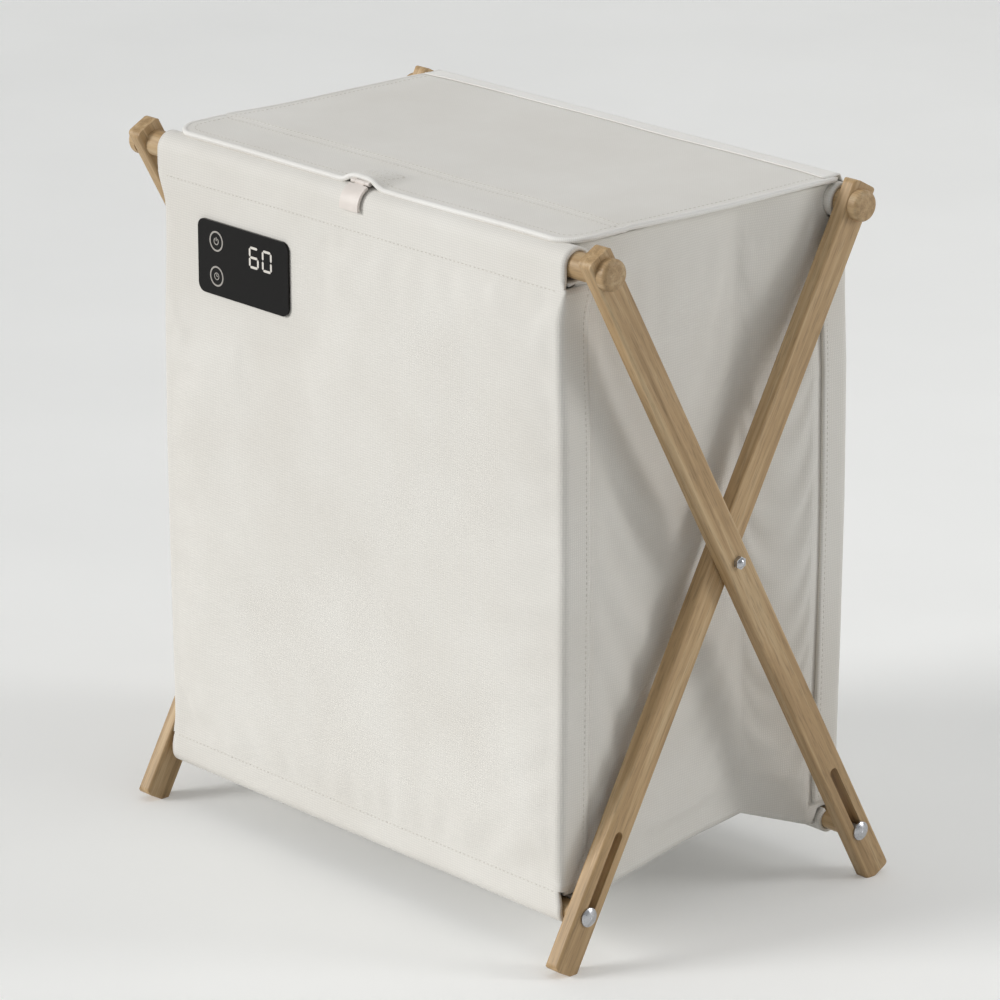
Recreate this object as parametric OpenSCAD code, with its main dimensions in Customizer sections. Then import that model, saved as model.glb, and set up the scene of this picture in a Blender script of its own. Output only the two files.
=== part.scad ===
// Folding towel warmer: a padded fabric bag on two crossed pairs of wooden legs.
// The front is -Y, the width runs along X and the floor is z = 0.
// Legs A stand at the front and lean back to the rear top rail; legs B are their mirror image.

/* [Frame] */
// Height of the leg tops above the floor
overall_h = 600; // [520:5:680]
// Distance of each foot from the middle, measured along the depth where the leg's centre line meets the floor
foot_half = 172; // [150:1:200]
// Distance of each leg's centre line from the middle at full height
top_half = 156; // [135:1:180]
// Width of a leg lath, seen from the side
leg_w = 26; // [22:1:32]
// Thickness of a leg lath
leg_t = 14; // [11:0.5:18]
// Rounding of the long edges of a leg
leg_edge_r = 2.5; // [1:0.5:4]
// Rounding of the corners at both ends of a leg
leg_corner_r = 5; // [3:0.5:9]
// Depth planed off the lowest corner of a foot, which makes its flat
foot_plane = 2.2; // [1:0.1:2.8]
// Distance of the top rail's centre from the leg's top end
rail_end = 18; // [15:0.5:24]
// Space between the legs A and B of one side
leg_gap = 1.6; // [1.2:0.1:3]
// Diameter of the top rails
top_rail_d = 22; // [18:1:26]
// Diameter of the bottom rails
bottom_rail_d = 16; // [12:1:20]
// Distance of the bottom rail from the foot, along the leg's centre line
slot_low = 52; // [44:1:62]
// Travel of the bottom rail in the slot of the leg
slot_travel = 68; // [50:1:80]
// Width of the slot
slot_w = 8.4; // [7.6:0.2:11]

/* [Bolts] */
// Diameter of every bolt
bolt_d = 6; // [4:0.5:7]
// Radial clearance of a bolt in its hole
bolt_fit = 0.05; // [0.02:0.01:0.1]
// Depth of a bolt in the end of a rail
bolt_depth = 32; // [20:1:45]
// Diameter of a bolt's head
head_d = 13; // [11:0.5:15]
// Height of a bolt's head
head_h = 3.4; // [2.6:0.1:3.4]
// Diameter of the heads that show at the slots
slide_head_d = 16; // [13:0.5:19]
// Radial clearance of the plastic bushes in their slots
bush_fit = 0.1; // [0.05:0.01:0.2]
// Play along the width at everything that turns or slides
side_play = 0.15; // [0.1:0.05:0.25]
// Diameter of the wooden caps over the bolts of the top rails
cap_d = 26; // [20:1:32]
// Height of those caps
cap_h = 9; // [7:0.5:14]

/* [Bag] */
// Half of the bag's width
bag_half_w = 250; // [215:1:250]
// Thickness of the padded wall behind the cover
wall_t = 5; // [3.5:0.5:7]
// Thickness of the cover where it wraps a rail
sleeve_t = 3.2; // [2:0.2:4]
// Clearance of a sleeve round its rail
sleeve_fit = 0.3; // [0.2:0.1:0.6]
// Clearance between sewn pieces that move against each other
soft_gap = 0.4; // [0.3:0.05:0.6]
// Thickness of the sheet that carries a heating track
mat_t = 1; // [0.6:0.1:2]
// Thickness of a heating track
track_t = 0.6; // [0.4:0.1:1]
// Width of a heating track
track_w = 6; // [4:0.5:9]
// Distance between the rows of a heating track
track_pitch = 27; // [20:1:40]
// Thickness of the lining
lining_t = 1.4; // [1:0.1:2]
// Distance of the heated field above the lower edge of its wall
heat_rise = 52; // [44:1:72]
// Distance of the heated field below the control panel
heat_drop = 30; // [24:1:60]
// Width of the heated field
heat_w = 420; // [340:5:430]
// Thickness of the side walls and of the bottom
side_t = 2.4; // [1.6:0.2:3.2]
// Width of the flat strip beside each corner of a side wall
strip_w = 31; // [22:1:45]
// How far a side wall is drawn in at its crease, at the top
pinch_top = 12; // [4:1:30]
// How far a side wall is drawn in at its crease, at the bottom
pinch_bottom = 15; // [6:1:40]
// Distance of the crease behind the middle, at the top
crease_top = 42; // [0:1:70]
// Distance of the crease behind the middle, at the bottom
crease_bottom = 62; // [0:1:75]
// How far the bottom's crease is raised
bottom_rise = 26; // [12:1:50]

/* [Lid] */
// Thickness of the lid
lid_t = 3.4; // [2.8:0.2:3.6]
// Distance of the lid's front edge in front of the front top rail's centre
lid_overhang = 2; // [1:1:5]
// Distance of the lid's side edges from the bag's sides
lid_side_gap = 5; // [2:0.5:9]
// Width of the soft strip in front of the lid's board
soft_strip = 54; // [36:1:70]
// Gap between the lid and the sleeves that it lies on
lid_gap = 0.6; // [0.4:0.1:0.8]
// Thickness of the stiffening board inside the lid
board_t = 1.8; // [1.2:0.2:2]
// Diameter of the piping round the lid
piping_d = 3.4; // [2.6:0.2:3.6]
// Radius of the lid's front corners
lid_corner_r = 24; // [8:1:30]
// Width of the lock's tab
lock_w = 22; // [18:1:32]
// Thickness of the lock's tab
lock_t = 2.4; // [1.8:0.2:3]
// Diameter of the lock's hinge knuckles
knuckle_d = 3.6; // [3:0.1:3.8]
// Diameter of the lock's hinge pin
pin_d = 1.6; // [1.2:0.1:1.8]
// Thickness of the keeper plate on the sleeve
keeper_t = 1.4; // [1:0.1:1.8]

/* [Controls] */
// Width of the control panel
panel_w = 116; // [105:1:130]
// Height of the control panel
panel_h = 63; // [59:1:76]
// Radius of the control panel's corners
panel_r = 8; // [4:0.5:11]
// Thickness of the control panel
panel_t = 2; // [1.6:0.1:3]
// Distance of the control panel's middle from the bag's left edge
panel_from_left = 113; // [100:1:125]
// Distance of the control panel's middle below the front top rail's centre
panel_down = 78; // [70:1:82]
// Border between the panel's edge and the housing behind it
panel_lip = 5; // [4:0.5:7]
// Depth of the housing behind the cover
housing_depth = 24; // [21:0.5:30]
// Wall thickness of the housing
housing_wall = 2; // [1.6:0.1:2.5]
// Diameter of the buttons
button_d = 14; // [11:0.5:16]
// Travel of the buttons
button_travel = 1; // [0.6:0.1:1.3]
// Distance of the buttons from the panel's left edge
button_in = 24; // [20:0.5:28]
// Distance between the two buttons
button_pitch = 30; // [24:0.5:33]
// Diameter of the screws of the back cover
screw_d = 2.5; // [2:0.1:2.8]
// Distance of the power inlet's middle from the bag's left edge, seen from the front
inlet_from_left = 70; // [50:1:110]

/* [Hidden] */

$fn = 64;
eps = 0.01;

// Lean of the legs and the points along a leg's centre line, measured from the floor
lean = atan((foot_half + top_half) / overall_h);
corner_drop = leg_corner_r * (sin(lean) + cos(lean) - 1);
leg_s0 = (leg_w / 2 * sin(lean) - corner_drop - foot_plane) / cos(lean);
leg_s1 = (overall_h + corner_drop - leg_w / 2 * sin(lean)) / cos(lean);
leg_len = leg_s1 - leg_s0;
rail_s = leg_s1 - rail_end;
pivot_s = foot_half / sin(lean);
pivot_z = pivot_s * cos(lean);

// Places of the rails: the top ones behind and in front of the middle, the bottom ones likewise
rail_y = rail_s * sin(lean) - foot_half;
rail_z = rail_s * cos(lean);
low_y = foot_half - slot_low * sin(lean);
low_z = slot_low * cos(lean);
top_rail_r = top_rail_d / 2;
bottom_rail_r = bottom_rail_d / 2;

// Places along the width: legs A are the inner ones, legs B the outer ones
leg_clear = 3.5;
a_in = bag_half_w + leg_clear;
a_out = a_in + leg_t;
b_in = a_out + leg_gap;
b_out = b_in + leg_t;
bolt_r = bolt_d / 2;
hole_r = bolt_r + bolt_fit;
washer_d = 16;
bush_r = slot_w / 2 - bush_fit;
nut_d = 11;
nut_h = 5.5;

// Sleeves and the layers of the front and rear walls, outermost first
sleeve_r = top_rail_r + sleeve_fit + sleeve_t;
hem_r = bottom_rail_r + sleeve_fit + sleeve_t;
wall_y = rail_y + sleeve_r;
mat_y = wall_y - wall_t;
track_y = mat_y - mat_t;
lining_y = track_y - track_t;
inner_y = lining_y - lining_t;
hem_skirt = 14;
hem_top = low_z + bottom_rail_r + hem_skirt;
wall_low = hem_top + soft_gap;
sleeve_gap_z = rail_z - sleeve_r - soft_gap;

// Lid: it lies on both sleeves and turns at its rear lower edge
lid_z = rail_z + sleeve_r + lid_gap;
lid_front = rail_y + lid_overhang;
lid_half_w = bag_half_w - lid_side_gap;
piping_r = piping_d / 2;
board_inset = 6;
board_corner_r = 4;

// Lock: the tab curves round the front sleeve
keeper_r = sleeve_r + keeper_t;
tab_r = keeper_r + 0.3;
knuckle_r = knuckle_d / 2;
lock_y = -(lid_front + knuckle_r + 0.9);
lock_z = lid_z + lid_t + 1.6 - knuckle_r;
plate_t = 1.6;
keeper_w = lock_w - 6;
tab_knuckle = lock_w / 2;
knuckle_gap = 0.3;
keeper_angle = 32;

// Controls on the front wall
panel_x = -bag_half_w + panel_from_left;
panel_z = rail_z - panel_down;
housing_w = panel_w - 2 * panel_lip;
housing_h = panel_h - 2 * panel_lip;
housing_r = max(panel_r - panel_lip, 2);
cut_gap = 0.5;
button_x = panel_x - panel_w / 2 + button_in;
button_fit = 0.1;
flange_d = button_d + 3;
flange_t = 1.2;
stem_d = 4;
board_back = wall_y - housing_depth + 8;
pcb_t = 1.6;
switch_w = 6;
switch_h = 4;
stem_gap = 0.3;
cover_t = 2;
post = 7;
display_w = 46;
display_margin = 12;

// Heated field of the front and rear walls
heat_low = wall_low + heat_rise;
heat_high = panel_z - panel_h / 2 - heat_drop;
mat_corner_r = 12;
fuse_w = 24;
fuse_h = 10;
fuse_gap = 4;

// Power inlet, low on the rear wall
inlet_w = 38;
inlet_h = 28;
inlet_x = -bag_half_w + inlet_from_left;
inlet_z = wall_low + inlet_h / 2 + 8;
inlet_flange = 2.5;
inlet_depth = 22;
socket_w = 17;
socket_h = 10;
socket_depth = 16;

// A rectangle with round corners, centred
module round_rect(w, h, r) {
    square([w - 2 * r, h], center = true);
    square([w, h - 2 * r], center = true);
    for (x = [-1, 1], y = [-1, 1]) translate([x * (w / 2 - r), y * (h / 2 - r)]) circle(r = r);
}

// An outline in depth and height, extruded along the width from x0 to x1
module along_width(x0, x1) {
    translate([x0, 0, 0]) rotate([90, 0, 90]) linear_extrude(height = x1 - x0) children();
}

// An outline in width and height, extruded along the depth from y0 to y1
module along_depth(y0, y1) {
    translate([0, y1, 0]) rotate([90, 0, 0]) linear_extrude(height = y1 - y0) children();
}

module both_ends() {
    children();
    mirror([1, 0, 0]) children();
}

module to_front() {
    mirror([0, 1, 0]) children();
}

// A round bar along the width from x0 to x1
module bar(x0, x1, r) {
    translate([x0, 0, 0]) rotate([0, 90, 0]) cylinder(h = x1 - x0, r = r);
}

// Places things on the centre line of a leg A, which starts at the front foot
module on_leg() {
    translate([0, -foot_half, 0]) rotate([-lean, 0, 0]) children();
}

// A leg A between the width positions x0 and x1
module leg(x0, x1) {
    middle_s = leg_s0 + leg_len / 2;
    difference() {
        on_leg() difference() {
            intersection() {
                translate([(x0 + x1) / 2, 0, leg_s0])
                    linear_extrude(height = leg_len) round_rect(leg_t, leg_w, leg_edge_r);
                along_width(x0 - 1, x1 + 1)
                    translate([0, middle_s]) round_rect(leg_w, leg_len, leg_corner_r);
            }
            translate([0, 0, rail_s]) bar(x0 - 1, x1 + 1, hole_r);
            translate([0, 0, pivot_s]) bar(x0 - 1, x1 + 1, hole_r);
            for (s = [slot_low, slot_low + slot_travel]) translate([0, 0, s]) bar(x0 - 1, x1 + 1, slot_w / 2);
            translate([x0 - 1, -slot_w / 2, slot_low]) cube([leg_t + 2, slot_w, slot_travel]);
        }
        translate([x0 - 1, -foot_half - leg_w, -leg_w]) cube([leg_t + 2, 2 * leg_w, leg_w]);
    }
}

// A top rail with a blind hole for a bolt in each end, reaching the leg faces at x = end
module top_rail(end) {
    translate([0, rail_y, rail_z]) difference() {
        bar(-end, end, top_rail_r);
        both_ends() bar(end - bolt_depth, end + 1, hole_r);
    }
}

// The bolts through the legs into a top rail
module rail_bolts(inner, outer) {
    translate([0, rail_y, rail_z]) both_ends() {
        bar(inner - bolt_depth + 1, outer, bolt_r);
        bar(outer, outer + head_h, head_d / 2);
    }
}

// Turned caps that cover the bolt heads
module rail_caps(outer) {
    dome = cap_h * 0.45;
    inside = head_d / 2 + 0.3;
    deep = head_h + 0.3;
    translate([0, rail_y, rail_z]) both_ends() translate([outer, 0, 0]) rotate([0, 90, 0]) rotate_extrude() {
        difference() {
            union() {
                square([cap_d / 2, cap_h - dome]);
                translate([0, cap_h - dome]) square([cap_d / 2 - dome, dome]);
                intersection() {
                    translate([cap_d / 2 - dome, cap_h - dome]) circle(r = dome);
                    square([cap_d / 2, cap_h]);
                }
            }
            translate([-1, -1]) square([inside + 1, deep + 1]);
        }
    }
}

// A bottom rail that runs between leg faces at x = face
module bottom_rail(face) {
    end = face - side_play;
    translate([0, -low_y, low_z]) difference() {
        bar(-end, end, bottom_rail_r);
        both_ends() bar(end - bolt_depth, end + 1, hole_r);
    }
}

// Its plastic bushes in the slots
module slide_bushes(face) {
    translate([0, -low_y, low_z]) both_ends() difference() {
        bar(face - side_play, face + leg_t + side_play, bush_r);
        bar(face - 1, face + leg_t + 1, hole_r);
    }
}

// Its bolts, with a broad domed head outside the leg
module slide_bolts(face) {
    outer = face + leg_t + side_play;
    rim = 1.2;
    head_r = slide_head_d / 2;
    crown = head_h - rim;
    dome_r = (head_r * head_r + crown * crown) / (2 * crown);
    translate([0, -low_y, low_z]) both_ends() {
        bar(face - bolt_depth + 1, outer + eps, bolt_r);
        translate([outer, 0, 0]) rotate([0, 90, 0]) rotate_extrude() {
            square([head_r, rim]);
            intersection() {
                translate([0, head_h - dome_r]) circle(r = dome_r, $fn = 180);
                square([head_r, head_h]);
            }
        }
    }
}

// The outer wall: a sleeve round the top rail and the padded sheet below it
module wall() {
    along_width(-bag_half_w, bag_half_w) difference() {
        union() {
            translate([rail_y, rail_z]) circle(r = sleeve_r);
            translate([wall_y - wall_t, wall_low]) square([wall_t, rail_z - wall_low]);
        }
        translate([rail_y, rail_z]) circle(r = top_rail_r + sleeve_fit);
    }
}

// The carrier sheet of the heater
module heater_mat() {
    along_depth(track_y, mat_y)
        translate([0, (heat_low + heat_high) / 2]) round_rect(heat_w, heat_high - heat_low, mat_corner_r);
}

// The heating track: rows joined at alternate ends by half rings
module heating_track() {
    margin = 16;
    rows = floor((heat_high - heat_low - 2 * margin) / track_pitch) + 1;
    turn_r = track_pitch / 2;
    half = heat_w / 2 - margin - turn_r;
    first = heat_low + margin;
    along_depth(lining_y, track_y) {
        for (i = [0:rows - 1]) translate([0, first + i * track_pitch])
            square([2 * half, track_w], center = true);
        for (i = [0:rows - 2]) {
            side = i % 2 == 0 ? 1 : -1;
            translate([side * half, first + (i + 0.5) * track_pitch]) intersection() {
                difference() {
                    circle(r = turn_r + track_w / 2);
                    circle(r = turn_r - track_w / 2);
                }
                translate([side * track_pitch, 0]) square([2 * track_pitch, 3 * track_pitch], center = true);
            }
        }
    }
}

// The lining, from above the hem to below the sleeve
module lining() {
    along_depth(inner_y, lining_y)
        translate([0, (wall_low + sleeve_gap_z) / 2])
            square([2 * bag_half_w, sleeve_gap_z - wall_low], center = true);
}

// A flat thermal fuse between wall and lining, above the heated field
module thermal_fuse() {
    along_depth(lining_y, mat_y)
        translate([heat_w / 4, heat_high + fuse_gap + fuse_h / 2]) round_rect(fuse_w, fuse_h, 2);
}

// The hem: a sleeve round the bottom rail and a short skirt that leans to the wall's lower edge
module bottom_hem() {
    along_width(-bag_half_w, bag_half_w) difference() {
        union() {
            translate([low_y, low_z]) circle(r = hem_r);
            polygon([
                [low_y + hem_r - sleeve_t, low_z], [low_y + hem_r, low_z],
                [wall_y, hem_top], [wall_y - sleeve_t, hem_top]
            ]);
        }
        translate([low_y, low_z]) circle(r = bottom_rail_r + sleeve_fit);
    }
}

// The outline of the control housing, enlarged by d on every side
module housing_outline(d) {
    translate([panel_x, panel_z]) round_rect(housing_w + 2 * d, housing_h + 2 * d, housing_r + d);
}

module button_holes(d) {
    for (k = [-1, 1]) translate([button_x, panel_z + k * button_pitch / 2]) circle(d = d);
}

// Side wall: flat strips beside the corners and between them a crease that lies behind the middle
side_y = inner_y - soft_gap;
strip_y = side_y - strip_w;
side_top = lid_z - 1.2;
side_low = low_z - bottom_rail_r + 4;
rail_clear_y = rail_y - sleeve_r - soft_gap;
hem_clear_y = low_y - hem_r - soft_gap;
step = 0.3;
side_stations = [
    -side_y, -hem_clear_y, -hem_clear_y + step, -rail_clear_y, -rail_clear_y + step,
    for (t = [-1, -0.85, -0.7, -0.5, -0.25, 0, 0.5, 1]) t * strip_y,
    rail_clear_y - step, rail_clear_y, hem_clear_y - step, hem_clear_y, side_y
];
levels = 6;

// A station between the strips keeps its share of the way to the crease, which moves with the level k
function crease_y(k) = crease_bottom + (crease_top - crease_bottom) * k / levels;
function half_way(y, k) = y < 0 ? strip_y + crease_y(k) : strip_y - crease_y(k);
function place_y(y, k) = abs(y) >= strip_y ? y : crease_y(k) + y / strip_y * half_way(y, k);
function pinch(y, k) = max(0, 1 - abs(y) / strip_y) * (pinch_bottom + (pinch_top - pinch_bottom) * k / levels);

// The bottom's rise at the depth y: steep behind the front hem, then slow up to the crease, then straight down
function rise(y) = y < crease_bottom
    ? bottom_rise * sqrt(max(0, y + hem_clear_y) / (crease_bottom + hem_clear_y))
    : bottom_rise * max(0, hem_clear_y - y) / (hem_clear_y - crease_bottom);
function low_edge(y) = abs(y) >= hem_clear_y ? hem_top - 6 : side_low + rise(place_y(y, 0));
function top_edge(y) = abs(y) >= rail_clear_y ? sleeve_gap_z : side_top;
function side_z(y, k) = low_edge(y) + (top_edge(y) - low_edge(y)) * k / levels;

module side_gusset() {
    n = len(side_stations);
    m = levels + 1;
    outer = [for (y = side_stations, k = [0:levels]) [bag_half_w - pinch(y, k), place_y(y, k), side_z(y, k)]];
    inner = [for (p = outer) [p[0] - side_t, p[1], p[2]]];
    sheet = [for (i = [0:n - 2], k = [0:levels - 1]) let (a = i * m + k) [a, a + m, a + m + 1, a + 1]];
    edge = concat(
        [for (i = [0:n - 1]) i * m],
        [for (k = [1:levels]) (n - 1) * m + k],
        [for (i = [1:n - 1]) (n - 1 - i) * m + levels],
        [for (k = [1:levels - 1]) levels - k]
    );
    c = len(edge);
    both = len(outer);
    faces = concat(
        [for (q = sheet) each [[q[0], q[2], q[1]], [q[0], q[3], q[2]]]],
        [for (q = sheet) let (t = [for (i = q) i + both]) each [[t[0], t[1], t[2]], [t[0], t[2], t[3]]]],
        [
            for (j = [0:c - 1]) let (a = edge[j], b = edge[(j + 1) % c])
            each [[a, b, b + both], [a, b + both, a + both]]
        ]
    );
    polyhedron(points = concat(outer, inner), faces = faces);
}

// Frame A
module leg_a_right() { color("burlywood") leg(a_in, a_out); }
module leg_a_left() { color("burlywood") mirror([1, 0, 0]) leg(a_in, a_out); }
module rear_top_rail() { color("tan") top_rail(a_in); }
module rear_rail_bolts() { color("silver") rail_bolts(a_in, a_out); }
module rear_rail_caps() { color("tan") rail_caps(a_out); }

module pivot_bolts() {
    color("silver") translate([0, 0, pivot_z]) both_ends() {
        bar(a_in - head_h, a_in, head_d / 2);
        bar(a_in - eps, b_out + side_play + nut_h - 1.5, bolt_r);
    }
}

module pivot_washers() {
    color("silver") translate([0, 0, pivot_z]) both_ends() difference() {
        bar(a_out, b_in - side_play, washer_d / 2);
        bar(a_out - 1, b_in + 1, hole_r);
    }
}

module pivot_nuts() {
    crown = nut_h * 0.6;
    color("silver") translate([0, 0, pivot_z]) both_ends() difference() {
        union() {
            translate([b_out + side_play, 0, 0]) rotate([0, 90, 0]) cylinder(h = crown, d = nut_d, $fn = 6);
            translate([b_out + side_play + crown - eps, 0, 0]) rotate([0, 90, 0])
                rotate_extrude() intersection() {
                    translate([0, -bolt_r]) circle(r = bolt_r + nut_h - crown + eps);
                    square([nut_d / 2 - 1.2, nut_h]);
                }
        }
        bar(b_out, b_out + side_play + nut_h - 1.5 + 0.1, hole_r);
    }
}

// Frame B
module leg_b_right() { color("burlywood") to_front() leg(b_in, b_out); }
module leg_b_left() { color("burlywood") to_front() mirror([1, 0, 0]) leg(b_in, b_out); }
module front_top_rail() { color("tan") to_front() top_rail(b_in); }
module front_rail_bolts() { color("silver") to_front() rail_bolts(b_in, b_out); }
module front_rail_caps() { color("tan") to_front() rail_caps(b_out); }

// Bottom rails: the front one runs in legs A, the rear one in legs B
module front_bottom_rail() { color("tan") bottom_rail(a_in); }
module front_slide_bolts() { color("silver") slide_bolts(a_in); }
module front_slide_bushes() { color("white") slide_bushes(a_in); }
module rear_bottom_rail() { color("tan") to_front() bottom_rail(b_in); }
module rear_slide_bolts() { color("silver") to_front() slide_bolts(b_in); }
module rear_slide_bushes() { color("white") to_front() slide_bushes(b_in); }

// Front wall and its heater
module front_panel() {
    color("ivory") difference() {
        to_front() wall();
        along_depth(-wall_y - 1, -mat_y + 1) housing_outline(cut_gap);
    }
}

module front_heater_mat() { color("dimgray") to_front() heater_mat(); }
module front_heating_track() { color("peru") to_front() heating_track(); }

module front_lining() {
    color("gainsboro") difference() {
        to_front() lining();
        along_depth(-lining_y - 1, -inner_y + 1) housing_outline(cut_gap);
    }
}

module front_thermal_fuse() { color("white") to_front() thermal_fuse(); }
module front_bottom_hem() { color("ivory") to_front() bottom_hem(); }

// Controls
module control_panel() {
    color([0.05, 0.045, 0.04]) along_depth(-wall_y - panel_t, -wall_y) difference() {
        translate([panel_x, panel_z]) round_rect(panel_w, panel_h, panel_r);
        button_holes(button_d + 2 * button_fit);
    }
}

module control_housing() {
    back = -wall_y + housing_depth;
    post_x = housing_w / 2 - housing_wall - post / 2;
    post_z = housing_h / 2 - housing_wall - post / 2;
    color("dimgray") {
        along_depth(-wall_y, back) difference() {
            housing_outline(0);
            housing_outline(-housing_wall);
        }
        along_depth(-board_back + pcb_t, back) for (x = [-1, 1], z = [-1, 1]) difference() {
            translate([panel_x + x * (post_x + eps), panel_z + z * (post_z + eps)])
                square(post, center = true);
            translate([panel_x + x * post_x, panel_z + z * post_z])
                circle(d = screw_d + 2 * bolt_fit, $fn = 24);
        }
    }
}

module control_back_cover() {
    back = -wall_y + housing_depth;
    color("dimgray") difference() {
        along_depth(back, back + cover_t) housing_outline(0);
        screw_places() rotate([90, 0, 0]) cylinder(h = 3 * cover_t, d = screw_d + 0.7, center = true);
    }
}

// The four screws through the back cover
module screw_places() {
    for (x = [-1, 1], z = [-1, 1]) translate([
        panel_x + x * (housing_w / 2 - housing_wall - post / 2),
        -wall_y + housing_depth + cover_t,
        panel_z + z * (housing_h / 2 - housing_wall - post / 2)
    ]) children();
}

module control_screws() {
    color("silver") screw_places() {
        rotate([90, 0, 0]) cylinder(h = 2.8 * screw_d, d = screw_d, $fn = 24);
        rotate([-90, 0, 0]) cylinder(h = 0.56 * screw_d, d = 2.1 * screw_d, $fn = 24);
    }
}

module control_board() {
    color("darkgreen") along_depth(-board_back, -board_back + pcb_t)
        translate([panel_x, panel_z])
            square([housing_w - 2 * housing_wall - 1, housing_h - 2 * housing_wall - 1], center = true);
}

module display_module() {
    right_edge = panel_x + housing_w / 2 - housing_wall - 3;
    color("black") along_depth(-wall_y, -board_back)
        translate([right_edge - display_w / 2, panel_z + 4])
            round_rect(display_w, housing_h - 2 * housing_wall - display_margin, 2);
}

module button_switches() {
    color("black") for (k = [-1, 1]) translate([button_x, 0, panel_z + k * button_pitch / 2]) {
        translate([0, -board_back - switch_h / 2, 0]) cube([switch_w, switch_h, switch_w], center = true);
        translate([0, -board_back - switch_h, 0]) rotate([90, 0, 0]) cylinder(h = 1, d = 3.4);
    }
}

// A button: its cap in the panel's hole, a flange behind it and a stem towards its switch
module button(k) {
    stem_end = -board_back - switch_h - 1 - button_travel - stem_gap;
    translate([button_x, 0, panel_z + k * button_pitch / 2]) rotate([-90, 0, 0]) {
        translate([0, 0, -wall_y - panel_t]) cylinder(h = panel_t + eps, d = button_d);
        translate([0, 0, -wall_y]) cylinder(h = flange_t, d = flange_d);
        translate([0, 0, -wall_y + flange_t - eps])
            cylinder(h = stem_end + wall_y - flange_t + eps, d = stem_d);
    }
}

module power_button() { color("dimgray") button(1); }
module timer_button() { color("dimgray") button(-1); }

// Rear wall, its heater and the power inlet
module inlet_outline(d) {
    translate([inlet_x, inlet_z]) round_rect(inlet_w + 2 * d, inlet_h + 2 * d, 4);
}

module rear_panel() {
    color("ivory") difference() {
        wall();
        along_depth(mat_y - 1, wall_y + 1) inlet_outline(-4 + cut_gap);
    }
}

module rear_heater_mat() { color("dimgray") heater_mat(); }

module rear_heating_track() { color("peru") heating_track(); }

module rear_lining() {
    color("gainsboro") difference() {
        lining();
        along_depth(inner_y - 1, lining_y + 1) inlet_outline(-4 + cut_gap);
    }
}

module rear_thermal_fuse() { color("white") thermal_fuse(); }
module rear_bottom_hem() { color("ivory") bottom_hem(); }

module power_inlet() {
    face = wall_y + inlet_flange;
    color("black") difference() {
        union() {
            along_depth(wall_y, face) inlet_outline(0);
            along_depth(face - inlet_depth, wall_y + eps) inlet_outline(-4);
        }
        along_depth(face - socket_depth, face + 1)
            translate([inlet_x, inlet_z]) round_rect(socket_w, socket_h, socket_h / 2 - eps);
    }
}

module inlet_pins() {
    bottom = wall_y + inlet_flange - socket_depth;
    color("silver") for (k = [-1, 1]) translate([inlet_x + k * 4.3, bottom, inlet_z])
        rotate([-90, 0, 0]) cylinder(h = socket_depth - 5, d = 2.4);
}

// Side walls and bottom
module side_gusset_right() { color("ivory") side_gusset(); }
module side_gusset_left() { color("ivory") mirror([1, 0, 0]) side_gusset(); }

module bottom_panel() {
    edge_y = hem_clear_y - soft_gap;
    reach = bag_half_w - side_t - soft_gap;
    drawn = pinch_bottom + 1.5;
    ways = [
        for (t = [0:0.125:1]) -edge_y + t * (edge_y + crease_bottom),
        edge_y
    ];
    under = [for (y = ways) [y, side_low + rise(y)]];
    over = [for (i = [1:len(ways)]) under[len(ways) - i] + [0, side_t]];
    color("ivory") intersection() {
        along_width(-bag_half_w, bag_half_w) polygon(concat(under, over));
        linear_extrude(height = overall_h) polygon([
            [reach, -edge_y - 1], [reach, -strip_y], [reach - drawn, crease_bottom], [reach, strip_y],
            [reach, edge_y + 1], [-reach, edge_y + 1], [-reach, strip_y], [drawn - reach, crease_bottom],
            [-reach, -strip_y], [-reach, -edge_y - 1]
        ]);
    }
}

// Lid: the cover's outline inside the piping
module lid_outline() {
    w = 2 * (lid_half_w - piping_d);
    front = -lid_front + piping_d;
    r = lid_corner_r - piping_d;
    difference() {
        translate([0, (front + rail_y) / 2]) square([w, rail_y - front], center = true);
        for (k = [-1, 1]) translate([k * w / 2, front]) difference() {
            square(2 * r, center = true);
            translate([-k * r, r]) circle(r = r);
        }
    }
}

// The stiffening board ends behind the soft strip
module board_outline() {
    front = -lid_front + soft_strip;
    back = rail_y - board_inset;
    translate([0, (front + back) / 2])
        round_rect(2 * (lid_half_w - piping_d - board_inset), back - front, board_corner_r);
}

module lid_cover() {
    skin = (lid_t - board_t) / 2;
    color("ivory") difference() {
        translate([0, 0, lid_z]) linear_extrude(height = lid_t) lid_outline();
        translate([0, 0, lid_z + skin]) linear_extrude(height = board_t) board_outline();
    }
}

module lid_board() {
    skin = (lid_t - board_t) / 2;
    color("gray") translate([0, 0, lid_z + skin]) linear_extrude(height = board_t) board_outline();
}

module lid_piping() {
    w = lid_half_w - piping_r;
    r = lid_corner_r - piping_r;
    front = -lid_front + piping_r;
    color("white") translate([0, 0, lid_z + piping_r]) {
        translate([0, front, 0]) bar(-w + r, w - r, piping_r);
        both_ends() {
            translate([w, front + r, 0]) rotate([-90, 0, 0]) cylinder(h = rail_y - front - r, r = piping_r);
            translate([w - r, front + r, 0]) rotate([0, 0, -90]) rotate_extrude(angle = 90)
                translate([r, 0]) circle(r = piping_r, $fn = 32);
        }
    }
}

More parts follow.
